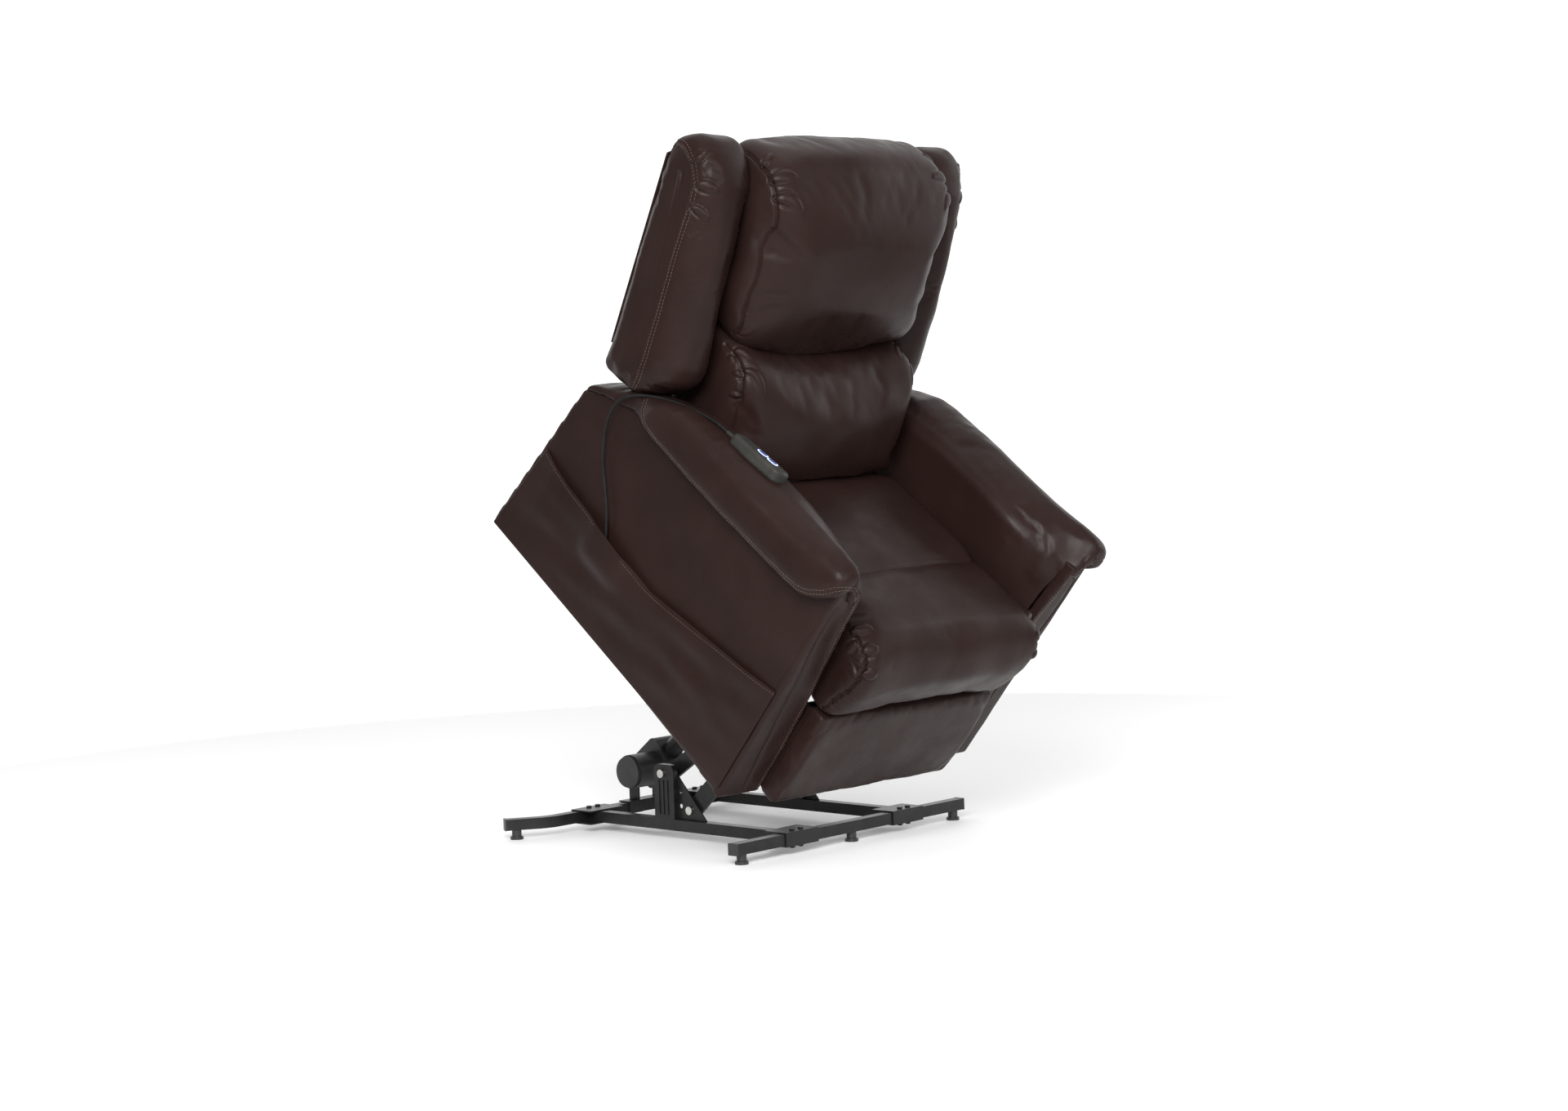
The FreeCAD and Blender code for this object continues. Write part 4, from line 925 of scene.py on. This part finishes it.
def build_pocket():
    """The soft pocket on the side: one sheet sewn along its bottom and ends, loose along its top."""
    across, up = 150, 46
    verts, faces = [], []
    for i in range(across + 1):
        y = POCKET_FRONT + (POCKET_REAR - POCKET_FRONT) * i / across
        top = table(y, *POCKET_TOP)[0]
        verts += [(0, y, z) for z in np.linspace(POCKET_FOOT, top, up + 1)]
    verts = np.array(verts)
    y, z = verts[:, 1].copy(), verts[:, 2]
    tops = np.interp(y, [p[0] for p in POCKET_TOP], [p[1] for p in POCKET_TOP])
    t = np.clip((z - POCKET_FOOT) / (tops - POCKET_FOOT), 0, 1)
    ends = np.clip((y - POCKET_FRONT) / 60, 0, 1) * np.clip((POCKET_REAR - y) / 60, 0, 1)
    slack = ends * np.sin(t * math.pi * 0.5) ** 0.7
    diagonal = np.stack([np.zeros(len(y)), y * 0.35 + z * 0.95, z * 0.3 - y * 0.1], axis=1)
    folds = waves(diagonal, 80, 171) * 4.2 + waves(verts, 60, 172, (1, 0.5, 1)) * 1.6
    mouth = np.exp(-((y - 520) / 130) ** 2) * np.clip((t - 0.6) / 0.4, 0, 1)
    cord = np.exp(-((y - 508) / 62) ** 4) * np.exp(-((z - 190) / 55) ** 4)
    out = 384.2 + slack * (7.0 + folds * np.sin(t * math.pi * 0.8 + 0.3)) + 5.5 * mouth
    out = out * (1 - cord) + np.maximum(out, 401.5) * cord
    rear = 748 + (813 - 748) * (1 - (z - 9) / 400) - 9
    verts[:, 1] = np.where(y > 700, y + (rear - POCKET_REAR) * (y - 700) / 80, y)
    verts[:, 0] = -np.clip(out, 383.4, 403.0)
    for i in range(across):
        for k in range(up):
            a = i * (up + 1) + k
            faces.append((a, a + 1, a + up + 2, a + up + 1))
    obj = new_object("side_pocket_cloth", verts, faces)
    mod = obj.modifiers.new("wall", "SOLIDIFY")
    mod.thickness = 1.6 * MM
    mod.offset = 0
    apply_modifiers(obj)
    fix_normals(obj)
    subdivide(obj)
    surface = surface_of(obj)
    hem = [(-400, a, b - 7) for a, b in POCKET_TOP]
    thread("side_pocket_stitch", surface, smooth_loop(hem, 80, False), "seat_unit", (0.0,), 0.55)
    finish_piece(obj, "seat_unit", LEATHER, ["side_pocket"])


# ------------------------------------------------------------------ handset cord

CORD_DIAMETER = 6.0 * MM
CORD_ROUTE = ((-362.5, 475, 553), (-364, 508, 543.5), (-366.5, 540, 531.5), (-371.5, 572, 517.5),
              (-380, 602, 502), (-391, 626, 486.5), (-400.5, 644, 467), (-403, 654, 439),
              (-401, 653, 405), (-397, 642, 367), (-394, 625, 332), (-393, 600, 302), (-393, 568, 271),
              (-393, 540, 236), (-393, 516, 196))
HANDSET_PLACE = (-352, 319, 569.3)
HANDSET_TURNS = ((4, "Z"), (-3, "X"), (17, "Y"))
RELIEF_TIP = (0, 97.05, -2)
RELIEF_AHEAD = (0, 123.05, -2)


def build_cord():
    """The handset's lead, from its strain relief over the arm and down into the pocket."""
    handset = Matrix.Translation(Vector(HANDSET_PLACE) * MM)
    for angle, axis in HANDSET_TURNS:
        handset = handset @ Matrix.Rotation(math.radians(angle), 4, axis)
    leave = SEAT @ handset @ (Vector(RELIEF_TIP) * MM)
    route = [leave, SEAT @ handset @ (Vector(RELIEF_AHEAD) * MM)]
    route += [SEAT @ (Vector(point) * MM) for point in CORD_ROUTE]
    curve = bpy.data.curves.new("handset_lead", "CURVE")
    curve.dimensions = "3D"
    spline = curve.splines.new("NURBS")
    spline.points.add(len(route) - 1)
    for point, place in zip(spline.points, route):
        point.co = (*place, 1)
    spline.order_u = 3
    spline.use_endpoint_u = True
    spline.resolution_u = 12
    curve.bevel_depth = CORD_DIAMETER / 2
    curve.bevel_resolution = 5
    curve.use_fill_caps = True
    curve.materials.append(CORD_SKIN)
    obj = bpy.data.objects.new("handset_lead", curve)
    bpy.context.collection.objects.link(obj)
    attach(obj, "seat_unit")
    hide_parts("handset_cord")


# ------------------------------------------------------------------ stage

CAMERA_PLACE = Vector((-4.3578, -3.8365, 0.9335))
CAMERA_TURN = math.radians(-47.46)
CAMERA_RISE = math.radians(3.46)
CAMERA_ROLL = math.radians(-1.84)
CAMERA_LENS = 66.47
SENSOR_WIDTH = 36
FLOOR_RADIUS = 2.6
FLOOR_SIDES = 96
FLOOR_GLOW = 0.12
WALL_GLOW = 0.75
WORLD_GLOW = 0.38
WHITE = (1, 1, 1)
# Each light: its place, the height on the chair's axis that it looks at, its size and its power.
LIGHTS = {
    "key": ((-3.9, -2.6, 2.9), 0.8, (2.4, 2.4), 290),
    "front": ((-1.0, -4.6, 1.8), 0.8, (2.4, 2.0), 62),
    "top": ((0.4, 0.2, 4.2), 0.6, (3.2, 3.2), 32),
    "side": ((3.6, -2.0, 2.2), 0.8, (2.0, 2.6), 24),
}


def build_camera():
    a, e, r = CAMERA_TURN, CAMERA_RISE, CAMERA_ROLL
    back = Vector((math.sin(a) * math.cos(e), -math.cos(a) * math.cos(e), math.sin(e)))
    right = Vector((math.cos(a), math.sin(a), 0))
    up = back.cross(right)
    right_rolled = right * math.cos(r) + up * math.sin(r)
    up_rolled = up * math.cos(r) - right * math.sin(r)
    data = bpy.data.cameras.new("camera")
    data.lens = CAMERA_LENS
    data.sensor_width = SENSOR_WIDTH
    data.clip_end = 100
    camera = bpy.data.objects.new("camera", data)
    bpy.context.collection.objects.link(camera)
    axes = Matrix((right_rolled, up_rolled, back)).transposed().to_4x4()
    camera.matrix_world = Matrix.Translation(CAMERA_PLACE + Vector((0, FRONT_ROW_Y, 0))) @ axes
    bpy.context.scene.camera = camera


def add_light(name, place, height, size, power):
    data = bpy.data.lights.new(name, "AREA")
    data.shape = "RECTANGLE"
    data.size, data.size_y = size
    data.energy = power
    light = bpy.data.objects.new(name, data)
    bpy.context.collection.objects.link(light)
    way = Vector((0, 0, height)) - Vector(place)
    light.matrix_world = Matrix.Translation(place) @ way.to_track_quat("-Z", "Y").to_matrix().to_4x4()


def build_stage():
    turns = [math.tau * k / FLOOR_SIDES for k in range(FLOOR_SIDES)]
    rim = [(FLOOR_RADIUS * math.cos(turn), FLOOR_RADIUS * math.sin(turn), 0) for turn in turns]
    floor = new_object("floor", rim, [tuple(range(FLOOR_SIDES))], 1.0)
    material, shader, tree = new_material("pale_floor", (0.93, 0.93, 0.93), 0.6)
    haze = texture(tree, "ShaderNodeTexNoise", 0.7)
    tree.links.new(ramp(tree, haze.outputs["Fac"], grey(0.92), grey(0.95)), shader.inputs["Base Color"])
    shader.inputs["Emission Color"].default_value = (*WHITE, 1)
    shader.inputs["Emission Strength"].default_value = FLOOR_GLOW
    floor.data.materials.append(material)
    corners = [(-30, 16, -20), (30, 16, -20), (30, 16, 20), (-30, 16, 20)]
    wall = new_object("wall", corners, [(0, 1, 2, 3)], 1.0)
    wall.rotation_euler.z = CAMERA_TURN
    glow, shader, _ = new_material("white_wall", WHITE, 1.0)
    shader.inputs["Emission Color"].default_value = (*WHITE, 1)
    shader.inputs["Emission Strength"].default_value = WALL_GLOW
    wall.data.materials.append(glow)
    for name, (place, height, size, power) in LIGHTS.items():
        add_light(name, place, height, size, power)
    world = bpy.data.worlds.new("studio")
    world.use_nodes = True
    background = world.node_tree.nodes["Background"]
    background.inputs["Color"].default_value = (*WHITE, 1)
    background.inputs["Strength"].default_value = WORLD_GLOW
    bpy.context.scene.world = world
    bpy.context.scene.view_settings.view_transform = "Standard"


paint_nodes()
build_camera()
build_stage()
for side_name, side_way in SIDES:
    build_wing(side_name, side_way)
    build_side(side_name, side_way)
    build_arm_front(side_name, side_way)
    build_arm(side_name, side_way)
build_head_pillow()
build_lumbar()
build_back_cover()
build_seat()
build_footrest()
build_pocket()
build_cord()
